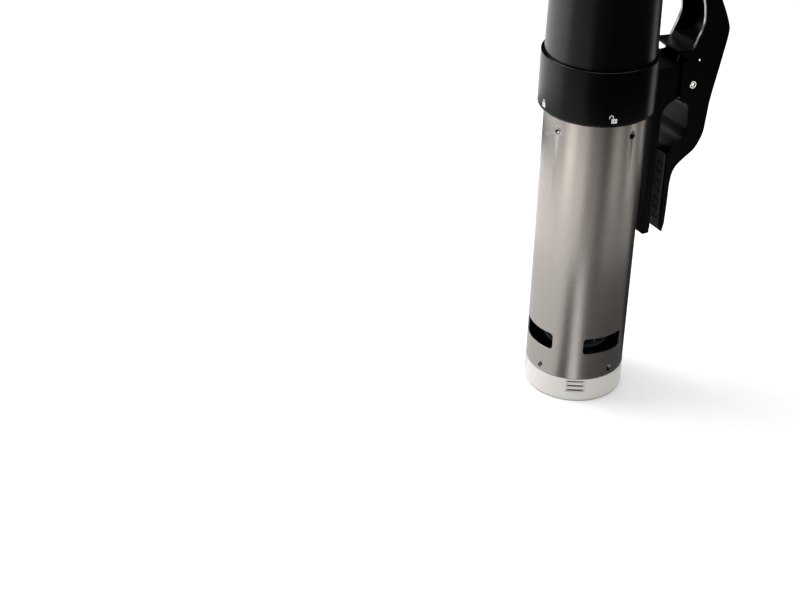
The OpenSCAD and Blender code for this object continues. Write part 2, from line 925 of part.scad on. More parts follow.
module jaw_pad(from_y, to_y) {
  pad_half = half - 1.4;
  ribs = 8;
  low = min(from_y, to_y);
  deep = abs(to_y - from_y);
  groove = 0.5;
  side = to_y > from_y ? deep - groove : -cut;
  color("dimgray")
    difference() {
      translate([-pad_half, low, pad_low]) cube([2 * pad_half, deep, pad_h]);
      for (i = [1:ribs - 1])
        translate([-pad_half - cut, low + side, pad_low + i * pad_h / ribs - 0.5])
          cube([2 * pad_half + 2 * cut, groove + cut, 1]);
    }
}

module inner_jaw_pad() { jaw_pad(jaw_out, jaw_out + pad_t); }
module outer_jaw_pad() { jaw_pad(outer_seat, outer_seat - pad_t); }

// The lever's edges as (Y, Z) measured from the pivot
grip_edge = [for (p = smooth([[-1.2, 22.4], [1.7, 28.9], [3.4, 32.6], [4.5, 36.3], [4.7, 40.2],
  [3.6, 48], [1.5, 54.5], [-1, 63], [-2.5, 73], [-2.7, 82], [-1.7, 90]])) p + [pivot_y, pivot_z]];
back_edge = [for (p = smooth([[7.4, 91.5], [6, 82], [5.8, 72], [8.4, 61], [14.1, 50.8],
  [18.6, 41.8], [21.5, 35], [22.7, 30.4], [22.1, 24.5], [20.5, 16.5], [18.4, 6], [15.8, -6],
  [14.3, -14.5], [13.4, -24], [12, -34], [7.2, -42.5], [0, -47.5], [-6, -52.5], [-8.4, -60],
  [-8.8, -75], [-9.2, -89]])) p + [pivot_y, pivot_z]];

// The floor of the hollow in the grip, as (Y, Z) from the pivot
grip_floor = [for (p = concat([[-8, 83.5], [-8, 25.5]], smooth([[4, 26], [9.6, 27.4], [13, 31],
  [14.3, 36.5], [13, 43], [9.3, 50.5], [5.6, 58], [2.9, 66], [2, 74], [1.2, 80], [-1.5, 83.5]])))
  p + [pivot_y, pivot_z]];

module lever_outline() {
  tip = arc([pivot_y + 2.9, pivot_z + 90.3], 5, 155, 25, 6);
  notch = [[front_y, block_top - 1.7], [front_y + 1, block_top], [front_y + 6, block_top]];
  toe = [[front_y - 0.7, block_top + 5.3], [front_y - 4.3, block_top + 7.8],
    [front_y - 4, block_top + 9]];
  arm = smooth([[outer_seat, pad_top + 2], [outer_seat + 3, pad_top + 5],
    [outer_seat + 9, pad_top + 9], [arch_y + arch_r, pad_top + 15]], 4);
  polygon(concat(
    [[outer_seat, jaw_low]], arm,
    arc([arch_y, arch_z], arch_r, 0, acos((front_y - arch_y) / arch_r), 8),
    notch, toe, grip_edge, tip, back_edge, [[outer_seat + 2, jaw_low - 2]]));
}

// The bright strips follow the grip's edge from the toe and stop short of the tip
strip_edge = [for (i = [0:len(grip_edge) - 4]) grip_edge[i]];

module strips() {
  for (side = [-1, 1])
    translate([side * (half - strip_inset - strip_w / 2), 0, 0])
      across(strip_w / 2)
        polygon(concat(beside(strip_edge, strip_proud), reversed(beside(strip_edge, -strip_deep))));
}

module lever_body() {
  channel_half = knuckle_half + gap;
  color("black")
    difference() {
      across(half) lever_outline();
      translate([-channel_half, shoulder_y - 8, channel_low])
        cube([2 * channel_half, pivot_y + 14.2 - back_wall - shoulder_y + 8, channel_top - channel_low]);
      across(half - grip_wall) polygon(grip_floor);
      strips();
      x_rod(pivot_y, pivot_z, pivot_r, -clamp_w, clamp_w);
      for (side = [-1, 1])
        x_rod(pivot_y, pivot_z, head_screw_r, side > 0 ? half - head_screw_t + head_proud : -half - cut,
          side > 0 ? half + cut : -half + head_screw_t - head_proud);
      x_rod(pin_y, pin_z, pin_r, -clamp_w, clamp_w);
    }
}

module lever_trim() { color("white") strips(); }

module pivot_screw() {
  seat = half - head_screw_t + head_proud;
  color("silver")
    difference() {
      union() {
        x_rod(pivot_y, pivot_z, pivot_r, -seat, seat);
        x_rod(pivot_y, pivot_z, head_screw_r, seat, half + head_proud);
      }
      translate([half - 0.8, pivot_y, pivot_z]) rotate([0, 90, 0]) cylinder(r = socket_r, h = 2, $fn = 6);
    }
}

module pivot_nut() {
  seat = half - head_screw_t + head_proud;
  color("silver") x_rod(pivot_y, pivot_z, head_screw_r, -half - head_proud, -seat);
}

module spring_pin() {
  color("silver") x_rod(pin_y, pin_z, pin_r, -half - 0.2, half + 0.2);
}

// The spring: a leg up to its pin, turns round the pivot, and a leg to the bracket
spring_step = 2 * wire_r + 0.1;
spring_lean = atan2(pin_y - pivot_y, pin_z - pivot_z)
  + asin((spring_r - pin_r - wire_r - run) / norm([pin_y - pivot_y, pin_z - pivot_z]));
spring_path = concat(
  [for (l = [16, 8, 1]) [-spring_turns * spring_step / 2, -spring_r * cos(spring_lean) + l * sin(spring_lean),
    spring_r * sin(spring_lean) + l * cos(spring_lean)]],
  [for (i = [0:spring_turns * 20 + 5]) let (w = 180 - spring_lean + 18 * i)
    [spring_step * (i / 20 - spring_turns / 2), spring_r * cos(w), spring_r * sin(w)]],
  [for (l = [1, 8]) let (w = 180 - spring_lean + 18 * (spring_turns * 20 + 5))
    [spring_step * (spring_turns / 2 + 0.25), spring_r * cos(w) - l * sin(w), spring_r * sin(w) + l * cos(w)]]);

module torsion_spring() {
  color("gray")
    translate([0, pivot_y, pivot_z]) swept(spring_path, wire_r, [for (p = spring_path) [1, 0, 0]]);
}

base_cap();
steel_sleeve();
locking_ring();
ring_clip();
collar();
upper_housing();
head_housing();
fascia();
bezel_ring();
display_lens();
display_panel();
control_board();
board_screws();
tact_switches();
minus_button();
power_button();
plus_button();
cord_gland();
power_board();
bulkhead();
bulkhead_seal();
shaft_seal();
triac();
triac_heatsink();
housing_screws();
motor_mount();
motor_screws();
motor_can();
motor_stator();
motor_bearings();
motor_rotor();
motor_shaft();
cooling_fan();
shaft_tube();
lower_bush();
impeller();
impeller_clip();
heater_coil();
temperature_probe();
level_rods();
clamp_bracket();
bracket_screws();
inner_jaw_pad();
lever_body();
lever_trim();
outer_jaw_pad();
pivot_screw();
pivot_nut();
spring_pin();
torsion_spring();
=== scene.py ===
"""Dresses a sous vide circulator: every sub-assembly is a class that builds and finishes its pieces."""

import json
import logging
import math
from dataclasses import dataclass, field
from enum import Enum
from typing import Callable, Dict, Iterable, List, Optional, Sequence, Tuple, Union

import bmesh
import bpy
from mathutils import Matrix, Vector

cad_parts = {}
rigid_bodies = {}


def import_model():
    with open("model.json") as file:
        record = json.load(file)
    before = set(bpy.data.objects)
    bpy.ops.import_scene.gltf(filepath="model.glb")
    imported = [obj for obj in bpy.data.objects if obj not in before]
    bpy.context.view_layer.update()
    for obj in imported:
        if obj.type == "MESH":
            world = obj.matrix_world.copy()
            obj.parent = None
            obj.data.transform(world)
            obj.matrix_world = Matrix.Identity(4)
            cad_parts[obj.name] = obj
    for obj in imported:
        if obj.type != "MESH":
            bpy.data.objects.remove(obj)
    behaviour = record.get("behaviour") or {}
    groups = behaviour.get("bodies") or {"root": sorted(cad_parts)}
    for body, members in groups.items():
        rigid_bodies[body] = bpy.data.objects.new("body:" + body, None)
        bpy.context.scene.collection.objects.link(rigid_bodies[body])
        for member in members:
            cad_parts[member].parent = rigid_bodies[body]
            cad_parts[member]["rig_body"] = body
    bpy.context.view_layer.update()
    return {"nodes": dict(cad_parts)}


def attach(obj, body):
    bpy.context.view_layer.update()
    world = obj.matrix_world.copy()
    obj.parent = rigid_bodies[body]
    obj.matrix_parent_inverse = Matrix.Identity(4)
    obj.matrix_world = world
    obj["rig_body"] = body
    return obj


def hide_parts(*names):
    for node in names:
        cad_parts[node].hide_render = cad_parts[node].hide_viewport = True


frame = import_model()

LOG = logging.getLogger("circulator")
MM = 0.001  # metres in a millimetre
ROUND = 192  # the steps round a whole turning

Pair = Tuple[float, float]
Colour = Tuple[float, float, float]
Corner = Tuple[float, float, float]
Place = Callable[[float, float, float], Sequence[float]]
Number = Union[int, float]


# ---------------------------------------------------------------- shader maths


class Value:
    """A shader socket that takes part in sums."""

    def __init__(self, shader: "Shader", socket: bpy.types.NodeSocket) -> None:
        """Keeps an output socket and the shader whose tree holds it."""
        self.shader = shader
        self.socket = socket

    def _sum(self, operation: str, left: "Term", right: "Term") -> "Value":
        """Returns the result of a Math node on two terms."""
        return self.shader.node("ShaderNodeMath", {"operation": operation}, {0: left, 1: right})

    def __add__(self, other: "Term") -> "Value":
        """Returns this plus the other."""
        return self._sum("ADD", self, other)

    __radd__ = __add__

    def __sub__(self, other: "Term") -> "Value":
        """Returns this less the other."""
        return self._sum("SUBTRACT", self, other)

    def __rsub__(self, other: "Term") -> "Value":
        """Returns the other less this."""
        return self._sum("SUBTRACT", other, self)

    def __mul__(self, other: "Term") -> "Value":
        """Returns this times the other."""
        return self._sum("MULTIPLY", self, other)

    __rmul__ = __mul__

    def __pow__(self, other: "Term") -> "Value":
        """Returns this to the other's power."""
        return self._sum("POWER", self, other)

    def below(self, limit: float) -> "Value":
        """Returns 1 where this is less than a limit, and 0 elsewhere."""
        return self._sum("LESS_THAN", self, limit)


Term = Union[Value, Number]


class Shader:
    """A material's node tree round one Principled shader."""

    def __init__(self, name: str) -> None:
        """Starts a named material with an empty Principled shader.

        Args:
            name: The finish's name.
        """
        self.material = bpy.data.materials.new(f"{name}_finish")
        self.material.use_nodes = True
        self.tree = self.material.node_tree
        self.surface = self.tree.nodes["Principled BSDF"]

    def nodes(self, kind: str, settings: Dict, sockets: Dict) -> List[Value]:
        """Adds any node.

        Args:
            kind: The node's type.
            settings: Its settings, which are set first.
            sockets: A value or a link for each input, by name or number.

        Returns:
            All its outputs.
        """
        made = self.tree.nodes.new(kind)
        for key, value in settings.items():
            setattr(made, key, value)
        for key, value in sockets.items():
            if isinstance(value, Value):
                self.tree.links.new(value.socket, made.inputs[key])
            else:
                made.inputs[key].default_value = value
        return [Value(self, output) for output in made.outputs]

    def node(self, kind: str, settings: Dict, sockets: Dict, out: int = 0) -> Value:
        """Adds any node and returns the output with the given number."""
        return self.nodes(kind, settings, sockets)[out]

    def place(self) -> Value:
        """Returns the point on the object, in metres."""
        return self.node("ShaderNodeTexCoord", {}, {}, 3)

    def stretched(self, scale: Tuple[float, float, float]) -> Value:
        """Returns the point with each axis scaled."""
        return self.node("ShaderNodeVectorMath", {"operation": "MULTIPLY"}, {0: self.place(), 1: scale})

    def round_axis(self, turns: float, rise: float) -> Value:
        """Lays a point out round the Z axis, for grain that runs round a tube.

        Args:
            turns: The scale of the angle.
            rise: The scale of the height.

        Returns:
            The point.
        """
        x, y, z = self.nodes("ShaderNodeSeparateXYZ", {}, {0: self.place()})
        angle = self.node("ShaderNodeMath", {"operation": "ARCTAN2"}, {0: y, 1: x})
        return self.node("ShaderNodeCombineXYZ", {}, {0: angle * turns, 1: z * rise, 2: 0.0})

    def faces_inwards(self) -> Value:
        """Finds where the surface looks towards the Z axis.

        Returns:
            1 there and 0 elsewhere.
        """
        normal = self.node("ShaderNodeTexCoord", {}, {}, 1)
        sockets = {0: normal, 1: self.stretched((1.0, 1.0, 0.0))}
        return self.node("ShaderNodeVectorMath", {"operation": "DOT_PRODUCT"}, sockets, 1).below(-0.01)

    def within(self, radius: float) -> Value:
        """Returns 1 within a radius in metres of the Z axis and off the floor, and 0 elsewhere."""
        x, y, z = self.nodes("ShaderNodeSeparateXYZ", {}, {0: self.place()})
        return ((x * x + y * y) ** 0.5).below(radius) * (1 - z.below(0.002))

    def noise(self, scale: float, detail: float = 3.0, where: Optional[Value] = None) -> Value:
        """Returns soft noise from 0 to 1, with its scale in cells to a metre or to a unit of where."""
        sockets = {"Vector": where or self.place(), "Scale": scale, "Detail": detail}
        return self.node("ShaderNodeTexNoise", {}, sockets)

    def blend(self, amount: Term, low: Union[Value, Colour], high: Union[Value, Colour]) -> Value:
        """Returns a mix of two colours, by the amount of the second one."""
        ends = [term if isinstance(term, Value) else (*term, 1.0) for term in (low, high)]
        return self.node("ShaderNodeMix", {"data_type": "RGBA"}, {0: amount, 6: ends[0], 7: ends[1]}, 2)

    def set(self, name: str, term: Union[Term, Colour]) -> None:
        """Sets or links one socket of the shader.

        Args:
            name: The socket's name.
            term: A link, a number or a colour.
        """
        if isinstance(term, Value):
            self.tree.links.new(term.socket, self.surface.inputs[name])
        elif isinstance(term, tuple):
            self.surface.inputs[name].default_value = (*term, 1)
        else:
            self.surface.inputs[name].default_value = term

    def bump(self, height: Value, depth: float, strength: float) -> None:
        """Feeds a bump to the shader, from a height of 0 to 1 and its depth in metres."""
        sockets = {"Strength": strength, "Distance": depth, "Height": height}
        self.set("Normal", self.node("ShaderNodeBump", {}, sockets))


# ---------------------------------------------------------------- finishes


@dataclass(frozen=True)
class Moulded:
    """Moulded plastic: a fine spark-eroded grain, faint unevenness and a little dust.

    Within the shade radius in metres of the Z axis, above the floor, the colour is painted near black:
    painted shade for the moulding's unlit inside.
    """

    name: str
    colour: Colour
    roughness: float = 0.45
    grain: float = 2600.0
    grain_depth: float = 0.00002
    dust: float = 0.03
    translucent: float = 0.0
    specular: float = 0.5
    shade_radius: float = 0.0

    def material(self) -> bpy.types.Material:
        """Makes the material.

        Returns:
            The finished material.
        """
        shader = Shader(self.name)
        cloud = shader.noise(22.0, 2.0)
        fine = shader.noise(self.grain, 2.0)
        lighter = tuple(min(1.0, c * 1.12 + 0.1 * self.dust * (1 - c)) for c in self.colour)
        colour = shader.blend(cloud, self.colour, lighter)
        if self.shade_radius:
            # painted shade: inside the radius and off the floor the colour turns near black
            colour = shader.blend(shader.within(self.shade_radius), colour, (0.004, 0.004, 0.004))
        shader.set("Base Color", colour)
        shader.set("Roughness", self.roughness + 0.08 * (cloud - 0.5) + self.dust * fine)
        shader.bump(fine, self.grain_depth, 0.35)
        shader.set("Specular IOR Level", self.specular)
        if self.translucent:
            shader.set("Subsurface Weight", self.translucent)
            shader.set("Subsurface Scale", 0.004)
        return shader.material


@dataclass(frozen=True)
class Gloss:
    """Polished plastic with faint swirls and a clear coat."""

    name: str
    colour: Colour
    roughness: float = 0.12
    coat: float = 0.6

    def material(self) -> bpy.types.Material:
        """Makes the material.

        Returns:
            The finished material.
        """
        shader = Shader(self.name)
        cloud = shader.noise(30.0, 2.0)
        swirl = shader.noise(900.0, 1.0)
        lighter = tuple(min(1.0, c * 1.25 + 0.002) for c in self.colour)
        shader.set("Base Color", shader.blend(cloud, self.colour, lighter))
        shader.set("Roughness", self.roughness + 0.05 * cloud)
        shader.set("Coat Weight", self.coat)
        shader.set("Coat Roughness", 0.06)
        shader.bump(swirl, 0.000004, 0.2)
        return shader.material


@dataclass(frozen=True)
class BrushedTube:
    """Satin stainless steel, with grain that runs round the Z axis and its inward faces painted near black:
    painted shade for the tube's unlit inside.
    """

    name: str
    colour: Colour = (0.5, 0.46, 0.42)
    painted_inner_shade: Colour = (0.012, 0.011, 0.01)
    roughness: float = 0.3

    def material(self) -> bpy.types.Material:
        """Makes the material.

        Returns:
            The finished material.
        """
        shader = Shader(self.name)
        grain = shader.noise(1.0, 4.0, shader.round_axis(6.0, 9000.0))
        streak = shader.noise(1.0, 2.0, shader.round_axis(3.0, 700.0))
        cloud = shader.noise(16.0, 3.0)
        darker = tuple(c * 0.86 for c in self.colour)
        tone = 0.55 * streak + 0.45 * cloud
        outside = shader.blend(tone, darker, self.colour)
        # painted shade: faces that look towards the axis get a near-black colour, standing in for the dark
        # inside of the tube
        shader.set("Base Color", shader.blend(shader.faces_inwards(), outside, self.painted_inner_shade))
        shader.set("Metallic", 1.0)
        shader.set("Roughness", self.roughness + 0.16 * (grain - 0.5) + 0.1 * (cloud - 0.5))
        shader.set("Anisotropic", 0.35)
        shader.bump(grain, 0.000006, 0.5)
        return shader.material


@dataclass(frozen=True)
class Metal:
    """Plain metal with fine drawn or turned marks along one axis."""

    name: str
    colour: Colour = (0.7, 0.69, 0.67)
    roughness: float = 0.25
    scale: Tuple[float, float, float] = (2500.0, 2500.0, 400.0)
    mark_depth: float = 0.000006

    def material(self) -> bpy.types.Material:
        """Makes the material.

        Returns:
            The finished material.
        """
        shader = Shader(self.name)
        marks = shader.noise(1.0, 3.0, shader.stretched(self.scale))
        cloud = shader.noise(60.0, 2.0)
        darker = tuple(c * 0.82 for c in self.colour)
        shader.set("Base Color", shader.blend(0.5 * marks + 0.5 * cloud, darker, self.colour))
        shader.set("Metallic", 1.0)
        shader.set("Roughness", self.roughness + 0.14 * (marks - 0.5))
        shader.bump(marks, self.mark_depth, 0.5)
        return shader.material


@dataclass(frozen=True)
class Rubber:
    """Moulded rubber: dull, with a soft bloom in its hollows."""

    name: str
    colour: Colour = (0.02, 0.02, 0.021)
    roughness: float = 0.75

    def material(self) -> bpy.types.Material:
        """Makes the material.

        Returns:
            The finished material.
        """
        shader = Shader(self.name)
        cloud = shader.noise(90.0, 3.0)
        pores = shader.noise(3200.0, 2.0)
        bloom = tuple(c * 1.8 + 0.006 for c in self.colour)
        shader.set("Base Color", shader.blend(cloud ** 2, self.colour, bloom))
        shader.set("Roughness", self.roughness + 0.1 * (cloud - 0.5))
        shader.bump(pores, 0.00003, 0.4)
        return shader.material


@dataclass(frozen=True)
class Winding:
    """Lacquered copper wire laid round the Z axis, with painted shade in the grooves between its turns."""

    name: str
    colour: Colour = (0.6, 0.28, 0.12)
    wire: float = 0.0009

    def material(self) -> bpy.types.Material:
        """Makes the material.

        Returns:
            The finished material.
        """
        shader = Shader(self.name)
        bands = shader.node(
            "ShaderNodeTexWave", {"bands_direction": "Z"},
            {"Vector": shader.place(), "Scale": 0.1 * math.pi / self.wire, "Distortion": 0.4}, 1)
        # painted shade: the grooves between the turns, where the bump sinks, are painted much darker
        darker = tuple(c * 0.35 for c in self.colour)
        shader.set("Base Color", shader.blend(bands, darker, self.colour))
        shader.set("Metallic", 1.0)
        shader.set("Roughness", 0.42 - 0.12 * bands)
        shader.bump(bands, self.wire / 3, 0.8)
        return shader.material


@dataclass(frozen=True)
class Board:
    """A circuit board: solder mask over squared copper lands."""

    name: str
    mask: Colour = (0.02, 0.11, 0.05)
    land: Colour = (0.05, 0.2, 0.09)
    pitch: float = 0.0032

    def material(self) -> bpy.types.Material:
        """Makes the material.

        Returns:
            The finished material.
        """
        shader = Shader(self.name)
        cells = shader.node(
            "ShaderNodeTexBrick", {"offset": 0.5},
            {"Vector": shader.place(), "Scale": 0.5 / self.pitch, "Mortar Size": 0.08}, 1)
        shader.set("Base Color", shader.blend(cells, self.land, self.mask))
        shader.set("Roughness", 0.35 + 0.15 * cells)
        shader.bump(1 - cells, 0.00004, 0.6)
        return shader.material


@dataclass(frozen=True)
class Glow:
    """A lit mark behind a window, uneven as a printed segment is."""

    name: str
    colour: Colour
    strength: float

    def material(self) -> bpy.types.Material:
        """Makes the material.

        Returns:
            The finished material.
        """
        shader = Shader(self.name)
        cloud = shader.noise(400.0, 1.0)
        dimmer = tuple(c * 0.8 for c in self.colour)
        lit = shader.blend(cloud, dimmer, self.colour)
        shader.set("Base Color", lit)
        shader.set("Emission Color", lit)
        shader.set("Emission Strength", self.strength)
        shader.set("Roughness", 0.4)
        return shader.material


@dataclass(frozen=True)
class Print:
    """Pad-printed ink with a soft, slightly worn film."""

    name: str
    colour: Colour = (0.78, 0.78, 0.77)

    def material(self) -> bpy.types.Material:
        """Makes the material.

        Returns:
            The finished material.
        """
        shader = Shader(self.name)
        wear = shader.noise(1400.0, 3.0)
        worn = tuple(c * 0.8 for c in self.colour)
        shader.set("Base Color", shader.blend(wear, worn, self.colour))
        shader.set("Roughness", 0.5 + 0.1 * wear)
        shader.bump(wear, 0.00001, 0.3)
        return shader.material


FINE_BLACK = {"grain": 2600.0, "grain_depth": 0.00001, "dust": 0.003}
PALE = {"colour": (0.62, 0.6, 0.55), "roughness": 0.34, "grain": 1800.0, "grain_depth": 0.00001, "dust": 0.02,
        "translucent": 0.15}


class Look(Enum):
    """The finishes that the pieces name, each with the record's slot that it stands for."""

    MATTE_BLACK = ("matte_black", Moulded("matte_black", (0.0006, 0.0006, 0.0009), 0.28, **FINE_BLACK))
    SATIN_BLACK = ("satin_black", Moulded(
        "satin_black", (0.0006, 0.0006, 0.0009), 0.26, 3200.0, 0.00001, 0.003, specular=0.3))
    CLAMP_BLACK = ("matte_black", Moulded(
        "clamp_black", (0.001, 0.001, 0.0014), 0.4, specular=0.12, **FINE_BLACK))
    GLOSS_BLACK = ("gloss_black", Gloss("gloss_black", (0.006, 0.006, 0.008)))
    PALE_PLASTIC = ("pale_plastic", Moulded("pale_plastic", **PALE))
    # the pale plastic with the cap's inside, seen through its louvres, painted near black: painted shade
    LINED_PLASTIC = ("pale_plastic", Moulded("shaded_core_plastic", shade_radius=0.0287, **PALE))
    DARK_PLASTIC = ("dark_plastic", Moulded("dark_plastic", (0.03, 0.03, 0.033), 0.5))
    IMPELLER_PLASTIC = ("impeller_plastic", Moulded("impeller_plastic", (0.06, 0.06, 0.066), 0.45))
    BUTTON_PLASTIC = ("button_plastic", Moulded("button_plastic", (0.1, 0.1, 0.105), 0.5))
    BRUSHED_SLEEVE = ("brushed_sleeve", BrushedTube("brushed_sleeve"))
    SPRING_STEEL = ("spring_steel", Metal("spring_steel", (0.55, 0.55, 0.56), 0.3))
    SCREW_STEEL = ("screw_steel", Metal("screw_steel", (0.82, 0.79, 0.74), 0.24, (900.0, 3000.0, 3000.0)))
    HEATER_STEEL = ("heater_steel", Metal("heater_steel", (0.58, 0.54, 0.5), 0.33, (600.0, 600.0, 3000.0)))
    SATIN_TRIM = ("satin_trim", Metal("satin_trim", (0.5, 0.5, 0.52), 0.32, (500.0, 500.0, 500.0)))
    BRIGHT_TRIM = ("bright_trim", Metal("bright_trim", (0.7, 0.7, 0.71), 0.34, (2500.0, 300.0, 300.0)))
    ALUMINIUM = ("aluminium", Metal("aluminium", (0.78, 0.78, 0.8), 0.38))
    ROTOR_IRON = ("rotor_iron", Metal("rotor_iron", (0.2, 0.2, 0.21), 0.5, (60.0, 60.0, 4000.0)))
    RUBBER = ("black_rubber", Rubber("black_rubber"))
    WINDING = ("copper_winding", Winding("copper_winding"))
    BOARD = ("circuit_board", Board("circuit_board"))
    LENS = ("dark_lens", Gloss("dark_lens", (0.004, 0.005, 0.006), 0.06, 1.0))
    DISPLAY = ("display", Gloss("display", (0.01, 0.014, 0.018), 0.25, 0.2))
    DIGIT = ("display", Glow("display_digit", (0.55, 0.85, 1.0), 1.6))
    INK = ("satin_black", Print("white_ink"))
    KEY_INK = ("button_plastic", Print("key_ink", (0.7, 0.7, 0.69)))

    @property
    def slot(self) -> str:
        """The record's material slot."""
        return self.value[0]

    def material(self) -> bpy.types.Material:
        """Returns the material, made once."""
        finish = self.value[1]
        return bpy.data.materials.get(f"{finish.name}_finish") or finish.material()


# ---------------------------------------------------------------- mesh tools


def as_object(name: str, mesh: bmesh.types.BMesh, smooth_below: float = 35.0) -> bpy.types.Object:
    """Turns a bmesh into an object with tidy normals.

    Args:
        name: The piece's name.
        mesh: The mesh, which is freed.
        smooth_below: Edges that turn by less than this many degrees are smooth.

    Returns:
        The new object.
    """
    bmesh.ops.recalc_face_normals(mesh, faces=mesh.faces)
    for edge in mesh.edges:
        edge.smooth = edge.is_manifold and edge.calc_face_angle(0) < math.radians(smooth_below)
    for face in mesh.faces:
        face.smooth = True
    data = bpy.data.meshes.new(name)
    mesh.to_mesh(data)
    mesh.free()
    made = bpy.data.objects.new(name, data)
    bpy.context.scene.collection.objects.link(made)
    return made


def apply_modifiers(piece: bpy.types.Object) -> bpy.types.Object:
    """Bakes a piece's modifiers into its mesh.

    Args:
        piece: The piece.

    Returns:
        The same piece.
    """
    bpy.context.view_layer.update()
    graph = bpy.context.evaluated_depsgraph_get()
    baked = bpy.data.meshes.new_from_object(piece.evaluated_get(graph))
    piece.modifiers.clear()
    piece.data = baked
    return piece


def bevelled(piece: bpy.types.Object, width: float, steps: int = 2, angle: float = 30.0,
             clamp: bool = True) -> bpy.types.Object:
    """Rounds a piece's sharp edges.

    Args:
        piece: The piece.
        width: The rounding's width in metres.
        steps: Segments across the rounding.
        angle: Only edges that turn by more than this many degrees are rounded.
        clamp: Whether short edges narrow the rounding.

    Returns:
        The same piece.
    """
    modifier = piece.modifiers.new("round", "BEVEL")
    modifier.width = width
    modifier.segments = steps
    modifier.limit_method = "ANGLE"
    modifier.angle_limit = math.radians(angle)
    modifier.harden_normals = True
    modifier.use_clamp_overlap = clamp
    return apply_modifiers(piece)


def evened(piece: bpy.types.Object) -> bpy.types.Object:
    """Weights a piece's normals by area, so that its flats stay flat beside their roundings.

    Args:
        piece: The piece.

    Returns:
        The same piece.
    """
    modifier = piece.modifiers.new("even", "WEIGHTED_NORMAL")
    modifier.weight = 100
    modifier.keep_sharp = True
    return apply_modifiers(piece)


def softened(name: str, node: str, width: float, steps: int, angle: float = 32.0) -> bpy.types.Object:
    """Copies a node's solid, cleans its facets and rounds its edges.

    Args:
        name: The piece's name.
        node: The CAD node.
        width: The rounding's width in metres.
        steps: Segments across the rounding.
        angle: Only edges that turn by more than this many degrees are rounded.

    Returns:
        The new piece.
    """
    mesh = bmesh.new()
    mesh.from_mesh(frame["nodes"][node].data)
    bmesh.ops.remove_doubles(mesh, verts=mesh.verts, dist=1e-6)
    bmesh.ops.dissolve_limit(mesh, angle_limit=math.radians(0.5), verts=mesh.verts, edges=mesh.edges)
    piece = as_object(name, mesh, angle)
    return bevelled(piece, width, steps, angle) if width else piece


def rounded(corners: Sequence[Corner], steps: int = 5) -> List[Pair]:
    """Rounds the corners of a closed outline.

    Args:
        corners: A place and a reach of rounding for each corner.
        steps: Segments in each rounding.

    Returns:
        The outline's points.
    """
    points: List[Pair] = []
    for i, (x, y, radius) in enumerate(corners):
        if radius == 0:
            points.append((x, y))
            continue
        here = Vector((x, y))
        before = Vector(corners[i - 1][:2]) - here
        after = Vector(corners[(i + 1) % len(corners)][:2]) - here
        turn = before.angle(after)
        back = min(radius / math.tan(turn / 2), 0.49 * before.length, 0.49 * after.length)
        start, end = here + before.normalized() * back, here + after.normalized() * back
        for s in range(steps + 1):
            t = s / steps
            spot = start * (1 - t) ** 2 + here * (2 * t * (1 - t)) + end * t ** 2
            points.append((spot.x, spot.y))
    return points


def lathe(name: str, profile: Callable[[float], Sequence[Pair]], segments: int = ROUND) -> bpy.types.Object:
    """Turns a profile round the Z axis; the profile may change with the angle.

    Args:
        name: The piece's name.
        profile: Gives the (radius, height) points at an angle, the same number at each.
        segments: Steps round the axis.

    Returns:
        The new piece.
    """
    mesh = bmesh.new()
    rings: List[List[bmesh.types.BMVert]] = []
    for i in range(segments):
        angle = 2 * math.pi * i / segments
        x, y = math.cos(angle), math.sin(angle)
        rings.append([mesh.verts.new((r * x, r * y, z)) for r, z in profile(angle)])
    count = len(rings[0])
    for i in range(segments):
        here, after = rings[i], rings[(i + 1) % segments]
        for k in range(count):
            n = (k + 1) % count
            mesh.faces.new((here[k], after[k], after[n], here[n]))
    bmesh.ops.remove_doubles(mesh, verts=mesh.verts, dist=1e-7)
    loose = [f for f in mesh.faces if f.calc_area() < 1e-14]
    bmesh.ops.delete(mesh, geom=loose, context="FACES_ONLY")
    return as_object(name, mesh)


def turned(name: str, corners: Sequence[Corner], steps: int = 5, segments: int = ROUND) -> bpy.types.Object:
    """Turns one profile round the Z axis, from its (radius, height, rounding) corners in millimetres."""
    outline = [(r * MM, z * MM) for r, z in rounded(corners, steps)]
    return lathe(name, lambda angle: outline, segments)


def spline(points: Sequence[Pair], steps: int = 8) -> List[Pair]:
    """Runs a smooth curve through points.

    Args:
        points: The points that it passes.
        steps: Segments in each span.

    Returns:
        The curve's points.
    """
    curve: List[Pair] = []
    last = len(points) - 1
    for i in range(last):
        p0, p1, p2, p3 = (Vector(points[min(max(k, 0), last)]) for k in (i - 1, i, i + 1, i + 2))
        for s in range(steps):
            t = s / steps
            spot = 0.5 * (2 * p1 + (p2 - p0) * t + (2 * p0 - 5 * p1 + 4 * p2 - p3) * t ** 2
                          + (3 * p1 - p0 - 3 * p2 + p3) * t ** 3)
            curve.append((spot.x, spot.y))
    curve.append(tuple(points[last]))
    return curve


def arc(centre: Pair, radius: float, start: float, end: float, steps: int = 12) -> List[Pair]:
    """Returns the points of an arc, between two angles in degrees."""
    angles = (math.radians(start + (end - start) * i / steps) for i in range(steps + 1))
    return [(centre[0] + radius * math.cos(a), centre[1] + radius * math.sin(a)) for a in angles]


def circle(centre: Pair, radius: float, sides: int, start: float = 0.0) -> List[Pair]:
    """Returns the corners of a round or regular outline, the first one at the start's angle in degrees."""
    return arc(centre, radius, start, start + 360 - 360 / sides, sides - 1)


def along_x(y: float, z: float, x: float) -> Vector:
    """Places a point of a prism that runs along X."""
    return Vector((x, y, z)) * MM


def along_y(x: float, z: float, y: float) -> Vector:
    """Places a point of a prism that runs along Y."""
    return Vector((x, y, z)) * MM


def along_z(x: float, y: float, z: float) -> Vector:
    """Places a point of a prism that runs along Z."""
    return Vector((x, y, z)) * MM


